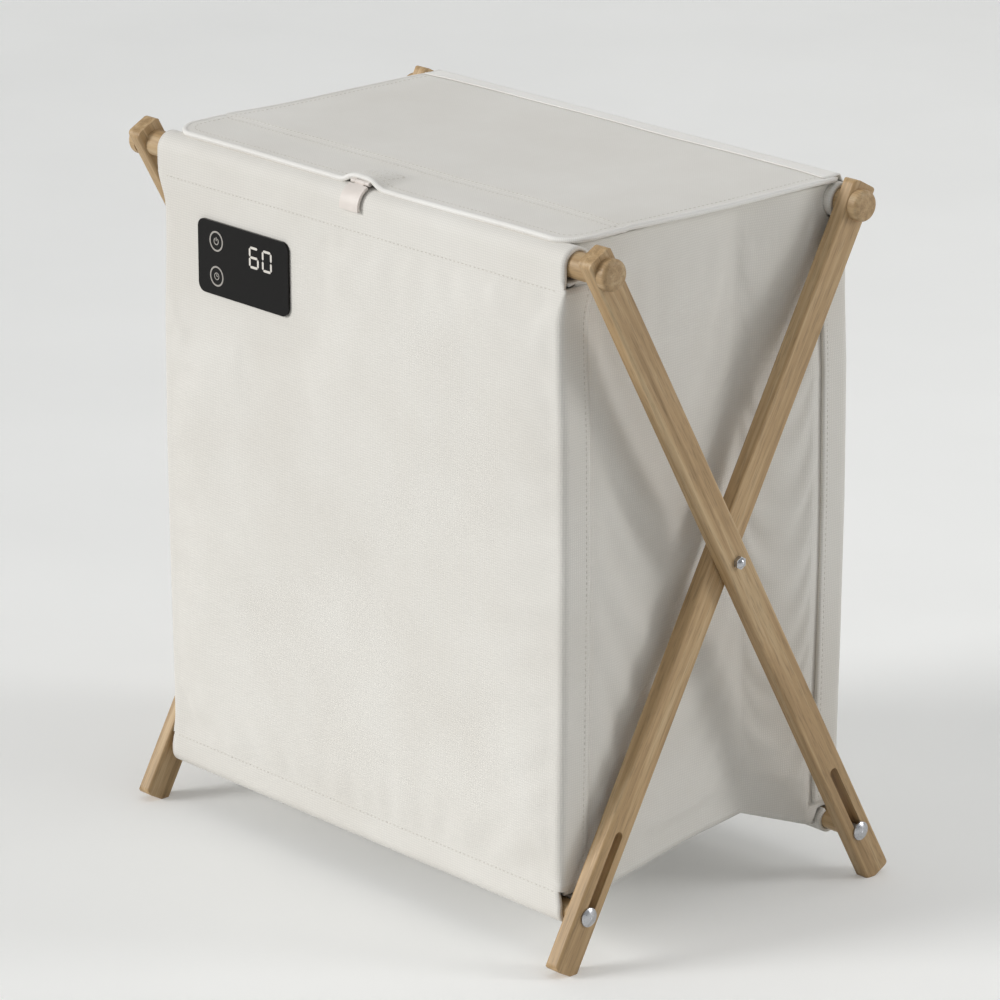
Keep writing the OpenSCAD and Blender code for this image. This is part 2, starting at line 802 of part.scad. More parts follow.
// Lock: a plate on the lid with two outer knuckles, a pin and a curved tab
module lock_base() {
    reach = 12;
    color("white") difference() {
        union() {
            translate([-lock_w / 2, lock_y, lid_z + lid_t]) cube([lock_w, reach, plate_t]);
            translate([0, lock_y, lock_z]) bar(-lock_w / 2, lock_w / 2, knuckle_r);
        }
        translate([0, lock_y, lock_z]) bar(-lock_w, lock_w, pin_d / 2 + bolt_fit);
        translate([-tab_knuckle / 2 - knuckle_gap, lock_y - knuckle_r - 1, lock_z - knuckle_r - 1])
            cube([tab_knuckle + 2 * knuckle_gap, 2 * knuckle_r + 1 + knuckle_gap, 2 * knuckle_r + 2]);
    }
}

module lock_pin() {
    color("silver") translate([0, lock_y, lock_z]) bar(-lock_w / 2, lock_w / 2, pin_d / 2);
}

// Part of a ring round the front top rail, from angle a0 to a1 above the horizontal in front of it
module sleeve_arc(r0, r1, a0, a1) {
    far = 2 * r1;
    middle = (a0 + a1) / 2;
    translate([-rail_y, rail_z]) intersection() {
        difference() {
            circle(r = r1, $fn = 96);
            circle(r = r0, $fn = 96);
        }
        polygon([
            [0, 0], [-far * cos(a0), far * sin(a0)], [-far * cos(middle), far * sin(middle)],
            [-far * cos(a1), far * sin(a1)]
        ]);
    }
}

module lock_tab() {
    curl = atan2(lock_z - rail_z, -rail_y - lock_y);
    tip = -8;
    shoulder = 66;
    color("white") {
        along_width(-tab_knuckle / 2, tab_knuckle / 2) difference() {
            union() {
                sleeve_arc(tab_r, tab_r + lock_t, tip, curl);
                translate([lock_y, lock_z]) circle(r = knuckle_r);
            }
            translate([lock_y, lock_z]) circle(r = pin_d / 2 + bolt_fit);
        }
        both_ends() along_width(tab_knuckle / 2, lock_w / 2) sleeve_arc(tab_r, tab_r + lock_t, tip, shoulder);
    }
}

module lock_keeper() {
    color("silver") along_width(-keeper_w / 2, keeper_w / 2) sleeve_arc(sleeve_r, keeper_r, 0, keeper_angle);
}

leg_a_left();
leg_a_right();
rear_top_rail();
rear_rail_bolts();
rear_rail_caps();
pivot_bolts();
pivot_washers();
pivot_nuts();
leg_b_left();
leg_b_right();
front_top_rail();
front_rail_bolts();
front_rail_caps();
front_bottom_rail();
front_slide_bolts();
front_slide_bushes();
rear_bottom_rail();
rear_slide_bolts();
rear_slide_bushes();
front_panel();
front_heater_mat();
front_heating_track();
front_lining();
front_bottom_hem();
front_thermal_fuse();
lock_keeper();
control_panel();
control_housing();
control_back_cover();
control_board();
display_module();
button_switches();
control_screws();
power_button();
timer_button();
rear_panel();
rear_heater_mat();
rear_heating_track();
rear_lining();
rear_bottom_hem();
rear_thermal_fuse();
power_inlet();
inlet_pins();
side_gusset_left();
side_gusset_right();
bottom_panel();
lid_cover();
lid_board();
lid_piping();
lock_base();
lock_pin();
lock_tab();
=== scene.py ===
import math
import bpy
import numpy as np
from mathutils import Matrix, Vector, noise
from mathutils.bvhtree import BVHTree


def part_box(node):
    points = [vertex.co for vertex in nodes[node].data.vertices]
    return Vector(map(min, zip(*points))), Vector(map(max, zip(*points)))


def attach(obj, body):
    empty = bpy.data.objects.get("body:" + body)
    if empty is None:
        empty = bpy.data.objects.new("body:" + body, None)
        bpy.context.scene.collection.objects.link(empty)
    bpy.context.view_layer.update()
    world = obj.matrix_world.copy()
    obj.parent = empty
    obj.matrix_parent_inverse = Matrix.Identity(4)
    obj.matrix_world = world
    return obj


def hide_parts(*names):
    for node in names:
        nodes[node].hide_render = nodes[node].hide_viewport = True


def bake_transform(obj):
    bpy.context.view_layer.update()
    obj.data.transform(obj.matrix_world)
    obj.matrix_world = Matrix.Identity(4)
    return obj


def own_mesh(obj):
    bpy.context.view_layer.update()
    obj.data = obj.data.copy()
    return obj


# Folding warmer: an off-white fabric bag hung on two crossed pairs of wooden legs.
# Front is -Y, width is along X, the floor is z = 0, everything is in metres.

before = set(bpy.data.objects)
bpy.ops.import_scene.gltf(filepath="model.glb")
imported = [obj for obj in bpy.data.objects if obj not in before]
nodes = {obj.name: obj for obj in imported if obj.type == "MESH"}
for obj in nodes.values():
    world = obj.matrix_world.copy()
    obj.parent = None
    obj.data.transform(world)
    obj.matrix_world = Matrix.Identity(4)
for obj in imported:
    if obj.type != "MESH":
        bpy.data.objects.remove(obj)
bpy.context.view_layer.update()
scene = bpy.context.scene
scene.view_settings.view_transform = "Standard"
print("frame loaded:", len(nodes), "nodes")


def linear(hexCode):    # sRGB hex to the linear colour that the shaders take
    channels = [int(hexCode[k:k + 2], 16) / 255 for k in (1, 3, 5)]
    return tuple(c / 12.92 if c <= 0.04045 else ((c + 0.055) / 1.055) ** 2.4 for c in channels) + (1.0,)


def grey(level):
    return (level, level, level, 1.0)


def addNode(tree, kind, inputs=None, stops=None, **settings):
    # one node, with its settings and what feeds its sockets
    node = tree.nodes.new(kind)
    for field, value in settings.items():
        setattr(node, field, value)
    for socket, value in (inputs or {}).items():
        if isinstance(value, bpy.types.NodeSocket):
            tree.links.new(value, node.inputs[socket])
        else:
            node.inputs[socket].default_value = value
    for k, (place, colour) in enumerate(stops or []):    # colour stops, for a ramp
        element = node.color_ramp.elements[k] if k < 2 else node.color_ramp.elements.new(place)
        element.position = place
        element.color = colour
    return node


def startMaterial(name):
    mat = bpy.data.materials.new(name)
    mat.use_nodes = True
    tree = mat.node_tree
    return mat, tree, tree.nodes["Principled BSDF"]


def smooth(low, high, value):    # 0 at low, 1 at high, eased between
    t = min(1.0, max(0.0, (value - low) / (high - low)))
    return t * t * (3 - 2 * t)


def mix(a, b, t):
    return a + (b - a) * t


def waveScale(period):    # a wave texture repeats every 2 pi / 20 units at scale 1
    return 2 * math.pi / (20 * period)


def makeFabric(name, base, shade, thread, sheen=0.25, rough=0.78, bump=0.35):
    # Woven polyester with a thin coating: matt, slightly milky, with a soft glow at grazing angles
    mat, tree, shader = startMaterial(name)
    uv = addNode(tree, "ShaderNodeUVMap", uv_map="cut").outputs[0]
    place = addNode(tree, "ShaderNodeTexCoord").outputs["Object"]
    yarn = {"Vector": uv, "Scale": waveScale(thread), "Distortion": 0.5, "Detail Scale": 3.0}
    warp = addNode(tree, "ShaderNodeTexWave", yarn, bands_direction="X").outputs["Fac"]
    weft = addNode(tree, "ShaderNodeTexWave", yarn, bands_direction="Y").outputs["Fac"]
    crossing = addNode(tree, "ShaderNodeMath", {0: warp, 1: weft}, operation="MULTIPLY").outputs[0]
    # slubs of 3 mm, and clouds of 110 mm where the coating lies thicker
    slubs = addNode(tree, "ShaderNodeTexNoise", {"Vector": uv, "Scale": 340.0, "Detail": 3.0}).outputs["Fac"]
    clouds = addNode(tree, "ShaderNodeTexNoise",
        {"Vector": place, "Scale": 9.0, "Detail": 4.0, "Roughness": 0.55}).outputs["Fac"]
    tone = addNode(tree, "ShaderNodeValToRGB", {"Fac": clouds},
        stops=[(0.3, linear(shade)), (0.7, linear(base))]).outputs[0]
    threads = addNode(tree, "ShaderNodeValToRGB", {"Fac": crossing},
        stops=[(0.0, grey(0.91)), (0.55, grey(1.0))]).outputs[0]
    dyed = addNode(tree, "ShaderNodeMix", {0: 1.0, 6: tone, 7: threads}, data_type="RGBA",
        blend_type="MULTIPLY").outputs[2]
    tree.links.new(dyed, shader.inputs["Base Color"])
    gloss = addNode(tree, "ShaderNodeMapRange",
        {"Value": slubs, "To Min": rough - 0.08, "To Max": rough + 0.08}).outputs[0]
    tree.links.new(gloss, shader.inputs["Roughness"])
    relief = addNode(tree, "ShaderNodeMath", {0: crossing, 1: slubs}, operation="ADD").outputs[0]
    raised = addNode(tree, "ShaderNodeBump",
        {"Strength": bump, "Distance": 0.0003, "Height": relief}).outputs[0]
    tree.links.new(raised, shader.inputs["Normal"])
    shader.inputs["Sheen Weight"].default_value = sheen
    shader.inputs["Sheen Roughness"].default_value = 0.4
    shader.inputs["IOR"].default_value = 1.47
    return mat


def makeWood(name, turn, tint=0.0):
    # Beech, planed and waxed: pale tan with fine darker fleck lines along the grain, satin
    mat, tree, shader = startMaterial(name)
    place = addNode(tree, "ShaderNodeTexCoord").outputs["Object"]
    turned = addNode(tree, "ShaderNodeMapping", {"Vector": place, "Rotation": turn}).outputs[0]
    # year rings 7 mm apart, drawn out along the leg
    grain = addNode(tree, "ShaderNodeMapping", {"Vector": turned, "Scale": (140.0, 140.0, 5.0)}).outputs[0]
    rings = addNode(tree, "ShaderNodeTexNoise",
        {"Vector": grain, "Scale": 1.0, "Detail": 5.0, "Roughness": 0.6, "Distortion": 0.4}).outputs["Fac"]
    # flecks 1 mm wide and 17 mm long
    pores = addNode(tree, "ShaderNodeMapping", {"Vector": turned, "Scale": (900.0, 900.0, 60.0)}).outputs[0]
    flecks = addNode(tree, "ShaderNodeTexNoise",
        {"Vector": pores, "Scale": 1.0, "Detail": 2.0}).outputs["Fac"]
    broad = addNode(tree, "ShaderNodeTexNoise",
        {"Vector": turned, "Scale": 6.0, "Detail": 2.0}).outputs["Fac"]
    tone = addNode(tree, "ShaderNodeValToRGB", {"Fac": rings},
        stops=[(0.28, linear("#A18258")), (0.72, linear("#D6BC94")), (0.5, linear("#BF9F74"))]).outputs[0]
    fleck = addNode(tree, "ShaderNodeValToRGB", {"Fac": flecks},
        stops=[(0.34, grey(0.62)), (0.46, grey(1.0))]).outputs[0]
    lined = addNode(tree, "ShaderNodeMix", {0: 0.55, 6: tone, 7: fleck}, data_type="RGBA",
        blend_type="MULTIPLY").outputs[2]
    patch = addNode(tree, "ShaderNodeValToRGB", {"Fac": broad},
        stops=[(0.3, grey(0.86 - tint)), (0.7, grey(1.0 - tint))]).outputs[0]
    stained = addNode(tree, "ShaderNodeMix", {0: 1.0, 6: lined, 7: patch}, data_type="RGBA",
        blend_type="MULTIPLY").outputs[2]
    tree.links.new(stained, shader.inputs["Base Color"])
    gloss = addNode(tree, "ShaderNodeMapRange", {"Value": rings, "To Min": 0.42, "To Max": 0.6}).outputs[0]
    tree.links.new(gloss, shader.inputs["Roughness"])
    raised = addNode(tree, "ShaderNodeBump",
        {"Strength": 0.3, "Distance": 0.0003, "Height": flecks}).outputs[0]
    tree.links.new(raised, shader.inputs["Normal"])
    shader.inputs["IOR"].default_value = 1.5
    return mat


def makePlastic(name, base, rough, grainSize=0.0008, bump=0.15, coat=0.0, ior=1.49, spread=0.06):
    # Injection-moulded: an even colour with a fine texture from the spark-eroded mould
    mat, tree, shader = startMaterial(name)
    place = addNode(tree, "ShaderNodeTexCoord").outputs["Object"]
    grain = addNode(tree, "ShaderNodeTexNoise",
        {"Vector": place, "Scale": 1 / grainSize, "Detail": 2.0}).outputs["Fac"]
    wide = addNode(tree, "ShaderNodeTexNoise", {"Vector": place, "Scale": 40.0, "Detail": 3.0}).outputs["Fac"]
    dark = tuple(c * 0.88 for c in linear(base)[:3]) + (1.0,)
    tone = addNode(tree, "ShaderNodeValToRGB", {"Fac": wide},
        stops=[(0.3, dark), (0.7, linear(base))]).outputs[0]
    tree.links.new(tone, shader.inputs["Base Color"])
    gloss = addNode(tree, "ShaderNodeMapRange",
        {"Value": wide, "To Min": max(0.02, rough - spread), "To Max": rough + spread}).outputs[0]
    tree.links.new(gloss, shader.inputs["Roughness"])
    raised = addNode(tree, "ShaderNodeBump",
        {"Strength": bump, "Distance": 0.0001, "Height": grain}).outputs[0]
    tree.links.new(raised, shader.inputs["Normal"])
    shader.inputs["Coat Weight"].default_value = coat
    shader.inputs["Coat Roughness"].default_value = 0.04
    shader.inputs["IOR"].default_value = ior
    return mat


def makeMetal(name, base, rough, scratch=0.0012):
    # Zinc-plated steel, barrel-finished: bright with faint random scratches
    mat, tree, shader = startMaterial(name)
    place = addNode(tree, "ShaderNodeTexCoord").outputs["Object"]
    marks = addNode(tree, "ShaderNodeTexNoise",
        {"Vector": place, "Scale": 1 / scratch, "Detail": 4.0, "Distortion": 1.5}).outputs["Fac"]
    dark = tuple(c * 0.8 for c in linear(base)[:3]) + (1.0,)
    tone = addNode(tree, "ShaderNodeValToRGB", {"Fac": marks},
        stops=[(0.3, dark), (0.65, linear(base))]).outputs[0]
    tree.links.new(tone, shader.inputs["Base Color"])
    gloss = addNode(tree, "ShaderNodeMapRange",
        {"Value": marks, "To Min": rough - 0.08, "To Max": rough + 0.1}).outputs[0]
    tree.links.new(gloss, shader.inputs["Roughness"])
    raised = addNode(tree, "ShaderNodeBump",
        {"Strength": 0.12, "Distance": 0.0001, "Height": marks}).outputs[0]
    tree.links.new(raised, shader.inputs["Normal"])
    shader.inputs["Metallic"].default_value = 1.0
    return mat


legLean = math.atan2(0.328, 0.6)    # the legs go back 328 mm over their 600 mm of height
# threads of 0.5 mm, drawn four times as wide to show
coverCloth = makeFabric("coatedPolyesterWeave", "#E8E5DE", "#E1DDD5", 0.0021)
liningCloth = makeFabric("greyLiningTwill", "#C9C8C4", "#BDBCB8", 0.0026, sheen=0.15)
bindingCloth = makeFabric("ribbedBindingTape", "#F6F4EF", "#EEEBE5", 0.0015, sheen=0.3, rough=0.7)
stitchThread = makePlastic("polyesterSewingThread", "#D3CEC4", 0.6, grainSize=0.0006, bump=0.3)
beechLegA = makeWood("waxedBeechLegA", (legLean, 0.0, 0.0))
beechLegB = makeWood("waxedBeechLegB", (-legLean, 0.0, 0.0), tint=0.03)
beechRail = makeWood("waxedBeechRail", (0.0, math.pi / 2, 0.0), tint=0.05)
zincSteel = makeMetal("zincPlatedSteel", "#C4C5C8", 0.28)
etchedFoil = makeMetal("etchedAluminiumFoil", "#C9C9CC", 0.35, scratch=0.002)    # duller than the steel
blackAcrylic = makePlastic("blackTintedAcrylic", "#0C0A09", 0.12, grainSize=0.004, bump=0.02, spread=0.03)
# smoked through, so it mirrors little
blackAcrylic.node_tree.nodes["Principled BSDF"].inputs["Specular IOR Level"].default_value = 0.2
blackAbs = makePlastic("blackMouldedAbs", "#151414", 0.35)
whiteNylon = makePlastic("whiteNylon", "#E9E0D8", 0.38)
bushNylon = makePlastic("greyNylonBush", "#B9B6B1", 0.45)
housingAbs = makePlastic("greyMouldedAbs", "#5A5A5C", 0.5)
boardFibre = makePlastic("greenSolderResist", "#1E5A38", 0.3, coat=0.3)
heaterFilm = makePlastic("siliconeCoatedGlassCloth", "#B8A998", 0.6, grainSize=0.0015)
greyCard = makePlastic("greyPressedCard", "#8F8A82", 0.85, grainSize=0.0015, bump=0.4)
panelPrint = makePlastic("paleScreenPrint", "#A9A49D", 0.5)
litSegment = makePlastic("paleLitSegment", "#C9C4BC", 0.4)
litSegment.node_tree.nodes["Principled BSDF"].inputs["Emission Color"].default_value = linear("#D9D4CC")
litSegment.node_tree.nodes["Principled BSDF"].inputs["Emission Strength"].default_value = 0.25

nodeFinish = {
    "leg_a_": beechLegA, "leg_b_": beechLegB,
    "_top_rail": beechRail, "_bottom_rail": beechRail, "_caps": beechRail,
    "_bolts": zincSteel, "_washers": zincSteel, "_nuts": zincSteel, "_screws": zincSteel, "_pins": zincSteel,
    "lock_pin": zincSteel, "_bushes": bushNylon, "control_panel": blackAcrylic, "control_housing": housingAbs,
    "control_back_cover": housingAbs, "control_board": boardFibre, "display_module": blackAbs,
    "button_switches": blackAbs, "_button": blackAcrylic, "power_inlet": blackAbs, "_heater_mat": heaterFilm,
    "_heating_track": etchedFoil, "_thermal_fuse": whiteNylon, "_lining": liningCloth, "lid_board": greyCard,
    "lock_base": whiteNylon, "lock_tab": whiteNylon, "lock_keeper": zincSteel,
}
for name, obj in nodes.items():
    finish = next((mat for part, mat in nodeFinish.items() if part in name), coverCloth)
    obj.data.materials.clear()
    obj.data.materials.append(finish)
    for face in obj.data.polygons:
        face.material_index = 0
print("materials made")


def middle(node):
    low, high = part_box(node)
    return (low + high) / 2


# places read from the frame
rail = {"out": abs(middle("front_top_rail").y), "z": middle("front_top_rail").z}
rail["r"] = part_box("front_panel")[1].z - rail["z"]    # outside of the sleeve
hem = {"out": abs(middle("front_bottom_rail").y), "z": middle("front_bottom_rail").z}
hem["r"] = hem["z"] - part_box("front_bottom_hem")[0].z
faceOut = -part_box("front_panel")[0].y
seamOut = -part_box("front_lining")[1].y
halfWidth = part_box("front_panel")[1].x
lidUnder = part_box("lid_cover")[0].z
housingLow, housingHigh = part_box("control_housing")
panelLow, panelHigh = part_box("control_panel")
inletLow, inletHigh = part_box("power_inlet")
# what each wall carries: the cloth lies flat round it and is cut away behind it, by room more than its size
fittings = {
    -1: {"flat": (panelLow, panelHigh), "hole": (housingLow, housingHigh), "room": 0.0005},
    1: {"flat": (inletLow, inletHigh), "hole": (inletLow, inletHigh), "room": -0.0018},
}


def holeEdges(side, spare=0.0):    # left, right, bottom and top of the hole in a wall
    low, high = fittings[side]["hole"]
    room = fittings[side]["room"] + spare
    return low.x - room, high.x + room, low.z - room, high.z + room


def newPiece(name, verts, faces, material, eased=True):    # an object from points and faces
    mesh = bpy.data.meshes.new(name)
    mesh.from_pydata(verts, [], faces)
    mesh.polygons.foreach_set("use_smooth", [eased] * len(faces))
    mesh.materials.append(material)
    obj = bpy.data.objects.new(name, mesh)
    scene.collection.objects.link(obj)
    return obj


def gridMesh(name, points, cut, material, closed=False, drop=None, pins=None):
    # points is rows x columns x 3, cut holds each point's place on the flat cloth, for the weave
    rows, cols = points.shape[:2]
    quads = []
    for i in range(rows - 1):
        for j in range(cols if closed else cols - 1):
            if not (drop and drop(i, j)):
                k = (j + 1) % cols
                quads.append([i * cols + j, i * cols + k, (i + 1) * cols + k, (i + 1) * cols + j])
    ends = [list(range(cols))[::-1], list(range((rows - 1) * cols, rows * cols))] if closed else []
    used = sorted({q for quad in quads for q in quad})
    place = {old: new for new, old in enumerate(used)}
    flat = cut.reshape(-1, 2)
    spots = points.reshape(-1, 3)
    faces = [[place[q] for q in face] for face in quads + ends]
    obj = newPiece(name, [tuple(spots[q]) for q in used], faces, material)
    corners = [tuple(flat[q]) for quad in quads for q in quad] + [(0.0, 0.0)] * (len(ends) * cols)
    obj.data.uv_layers.new(name="cut").data.foreach_set("uv", np.array(corners, np.float32).ravel())
    if pins is not None:
        group = obj.vertex_groups.new(name="pins")
        held = pins.reshape(-1)
        for q in used:
            group.add([place[q]], float(held[q]), "REPLACE")
    return obj


def applyAll(obj):    # turns the modifiers into the mesh
    graph = bpy.context.evaluated_depsgraph_get()
    mesh = bpy.data.meshes.new_from_object(obj.evaluated_get(graph), preserve_all_data_layers=True,
        depsgraph=graph)
    obj.modifiers.clear()
    obj.data = mesh
    return obj


def thicken(obj, depth, offset=-1.0):
    solid = obj.modifiers.new("thickness", "SOLIDIFY")
    solid.thickness = depth
    solid.offset = offset
    solid.use_even_offset = True
    return applyAll(obj)


def wobble(x, y, z, size, height):    # smooth seeded unevenness of cloth
    return height * noise.noise(Vector((x / size, y / size, z / size)))


def flip(obj):    # turns the faces over
    obj.data.flip_normals()
    return obj


def snapTo(values, targets):    # moves the nearest grid line onto each target
    for target in targets:
        values[int(np.argmin(np.abs(values - target)))] = target
    return values


clothSettings = {
    "frames": 20,
    "quality": 5,
    "mass": 0.25,
    "stretch": 20,           # against pulling and pushing alike
    "shear": 8,
    # spare is the share of extra cloth, cap is how far a point moves at most
    "wall": {"pressure": 1.6, "spare": 0.004, "gravity": 0.0, "cap": 0.0045, "bending": 6.0},
    "side": {"pressure": 0.0, "spare": 0.006, "gravity": 1.0, "cap": 0.0070, "bending": 2.5},
    "bottom": {"pressure": 0.0, "spare": 0.006, "gravity": 1.0, "cap": 0.0060, "bending": 2.5},
}


def relax(pieces):    # lets the cloth pieces settle together, each held at its pins
    before = {}
    for obj, kind in pieces:
        s = clothSettings[kind]
        before[obj.name] = np.array([v.co for v in obj.data.vertices])
        cloth = obj.modifiers.new("cloth", "CLOTH")
        cloth.settings.quality = clothSettings["quality"]
        cloth.settings.mass = clothSettings["mass"]
        cloth.settings.vertex_group_mass = "pins"
        cloth.settings.tension_stiffness = clothSettings["stretch"]
        cloth.settings.compression_stiffness = clothSettings["stretch"]
        cloth.settings.shear_stiffness = clothSettings["shear"]
        cloth.settings.bending_stiffness = s["bending"]
        cloth.settings.shrink_min = -s["spare"]
        cloth.settings.effector_weights.gravity = s["gravity"]
        cloth.settings.use_pressure = s["pressure"] > 0
        cloth.settings.uniform_pressure_force = s["pressure"]
        cloth.collision_settings.use_collision = False
        cloth.point_cache.frame_start = 1
        cloth.point_cache.frame_end = clothSettings["frames"]
    for k in range(1, clothSettings["frames"] + 1):
        scene.frame_set(k)
    for obj, kind in pieces:
        applyAll(obj)
        start = before[obj.name]
        moved = np.array([v.co for v in obj.data.vertices]) - start
        far = np.linalg.norm(moved, axis=1)
        cap = clothSettings[kind]["cap"]
        held = cap * np.tanh(far / cap) / np.maximum(far, 1e-9)
        obj.data.vertices.foreach_set("co", (start + moved * held[:, None]).astype(np.float32).ravel())
        obj.data.update()
        most, mean = round(float(far.max()) * 1000, 2), round(float(far.mean()) * 1000, 2)
        print("settled", obj.name, "most", most, "mm, mean", mean, "mm")
    scene.frame_set(1)


wallSettings = {
    "sheet": 0.003,               # padded cloth thickness
    "corner": 0.007,              # roundness of the upright corners
    "cornerTop": (0.012, 0.045),  # the corner turns round between these, below the top rail's middle
    "cornerLow": (0.004, 0.034),  # and between these, above the bottom rail's middle
    "wrap": 0.030,                # how far the cloth is turned round the corner over the side wall
    "wrapSteps": 12,
    "wrapClear": (0.0012, 0.002),    # the wrap ends this far below the sleeve and above the hem
    "hemHalf": 0.2466,            # half width of the hem
    "sleeveIn": 0.0006,           # the sleeve ends this far inside the wall's edge
    "tubeCorner": 0.0015,         # roundness of the ends of the sleeve and hem
    # inner edge: outwards from the seam, down from the sleeve
    "tail": ((0.0026, 0.0012), (-0.002, 0.0003)),
    "sleeveTurn": (270, 0, 28),   # degrees from and to, and steps
    "hemTurn": (0, -245, 22),
    "belly": 0.0016,              # how far the wall swells at most
    "bellySkew": 1.25,            # puts the fullest place a little above the middle
    "bellyFrom": (0.004, 0.07),   # it swells from here on, away from what the wall carries
    "pressed": 0.0003,            # it is drawn in this much under what it carries
    "pressedOver": 0.02,
    "looseFrom": (0.006, 0.060),  # the cloth is free to move from here on, away from what it carries
    "looseTop": (0.004, 0.04),
    "looseLow": (0.004, 0.03),
    "looseSide": 0.95,
    "waveLength": 0.09,
    "waveHeight": 0.0010,
    "columns": 100,
    "rows": 92,
}


def edgeX(z):    # half width of the bag at a height: drawn in under the sleeve, fuller at mid-height
    heights = [0.034, 0.060, 0.110, 0.200, 0.330, 0.440, 0.500, 0.530, 0.550, 0.600]
    widths = [0.2462, 0.2468, 0.2468, 0.2484, 0.2496, 0.2482, 0.2448, 0.2444, 0.2462, 0.2480]
    return float(np.interp(z, heights, widths)) * halfWidth / 0.25


def openFace(z, top, low):    # 0 at the two rails and 1 on the face between them, eased over top and low
    return smooth(rail["z"] - top[0], rail["z"] - top[1], z) * smooth(hem["z"] + low[0], hem["z"] + low[1], z)


def wallRows(side):
    # outline of the wall seen from the side: (outwards, height) and what each row belongs to
    s = wallSettings
    points = [(seamOut + out, rail["z"] - rail["r"] - down) for out, down in s["tail"]]
    kinds = ["tail", "tail"]
    for a in np.radians(np.linspace(*s["sleeveTurn"])):
        points.append((rail["out"] + rail["r"] * math.cos(a), rail["z"] + rail["r"] * math.sin(a)))
        kinds.append("sleeve")
    falls = snapTo(np.linspace(rail["z"], hem["z"], s["rows"])[1:-1], holeEdges(side)[2:])
    lowFace = hem["out"] + hem["r"]
    for z in falls:
        points.append((mix(lowFace, faceOut, (z - hem["z"]) / (rail["z"] - hem["z"])), z))
        kinds.append("face")
    for a in np.radians(np.linspace(*s["hemTurn"])):
        points.append((hem["out"] + hem["r"] * math.cos(a), hem["z"] + hem["r"] * math.sin(a)))
        kinds.append("hem")
    points = np.array(points)
    run = np.concatenate([[0], np.cumsum(np.linalg.norm(np.diff(points, axis=0), axis=1))])
    return points, run, kinds


def makeWall(name, side):    # one cloth from the top rail's sleeve down the face and round the bottom rail
    s = wallSettings
    profile, run, kinds = wallRows(side)
    flatLow, flatHigh = fittings[side]["flat"]
    holeLeft, holeRight, holeBottom, holeTop = holeEdges(side)
    faceHalf = halfWidth - s["corner"]
    across = snapTo(np.linspace(-1, 1, s["columns"]) * faceHalf, (holeLeft, holeRight)) / faceHalf
    turns = np.linspace(0, 1, s["wrapSteps"])[1:]
    columns = [(-1, t) for t in turns[::-1]] + [(c, 0.0) for c in across] + [(1, t) for t in turns]
    arc = s["corner"] * math.pi / 2
    shape = (len(profile), len(columns))
    points, cut, pins = np.zeros(shape + (3,)), np.zeros(shape + (2,)), np.ones(shape)
    for i, (out, z) in enumerate(profile):
        onFace = kinds[i] == "face"
        turned, swell = 0.0, 0.0
        if onFace:
            height = min(1, max(0, (z - hem["z"]) / (rail["z"] - hem["z"])))
            turned = openFace(z, s["cornerTop"], s["cornerLow"])
            swell = s["belly"] * math.sin(math.pi * height ** s["bellySkew"])
        tube = mix(s["hemHalf"], halfWidth - s["sleeveIn"], smooth(0.1, 0.5, z))
        roundness = mix(s["tubeCorner"], s["corner"], turned)
        half = mix(tube, edgeX(z) - s["corner"], turned)
        for j, (c, t) in enumerate(columns):
            far = t * (arc + s["wrap"] - s["corner"])
            if t == 0:
                x, back = c * half, 0.0
            elif far < arc:
                a = far / s["corner"]
                x, back = c * (half + roundness * math.sin(a)), roundness * (1 - math.cos(a))
            else:
                x = c * (half + roundness)
                back = mix(roundness, s["wrap"], (far - arc) / (s["wrap"] - s["corner"]))
            puff = swell * (1 - (abs(x) / halfWidth) ** 4)
            if onFace:    # lies flat behind the control panel or the inlet
                aside, above = max(flatLow.x - x, 0, x - flatHigh.x), max(flatLow.z - z, 0, z - flatHigh.z)
                away = math.hypot(aside, above)
                loose = smooth(*s["looseFrom"], away) * openFace(z, s["looseTop"], s["looseLow"])
                puff *= smooth(*s["bellyFrom"], away)
                puff -= s["pressed"] * (1 - smooth(0, s["pressedOver"], away))
                puff += loose * wobble(x, side * 0.4, z, s["waveLength"], s["waveHeight"])
                pins[i, j] = 1 - loose * (1.0 if t == 0 else 0.0) * smooth(1.0, s["looseSide"], abs(c))
            points[i, j] = (x, side * (out + (puff if t == 0 else 0) - back), z)
            cut[i, j] = (c * (half + far), run[i])

    def drop(i, j):    # leaves out the wraps beside sleeve and hem, and the hole
        spot = points[i:i + 2, j:j + 2].reshape(-1, 3)
        centre = spot.mean(0)
        if min(j, shape[1] - 2 - j) < len(turns):
            top = rail["z"] - rail["r"] - s["wrapClear"][0]
            low = hem["z"] + hem["r"] + s["wrapClear"][1]
            return kinds[i] != "face" or spot[:, 2].max() > top or spot[:, 2].min() < low
        return kinds[i] == "face" and holeLeft < centre[0] < holeRight and holeBottom < centre[2] < holeTop

    wall = gridMesh(name, points, cut, coverCloth, drop=drop, pins=pins)
    return flip(wall) if side < 0 else wall


frontWall = makeWall("frontWallCover", -1)
rearWall = makeWall("rearWallCover", 1)


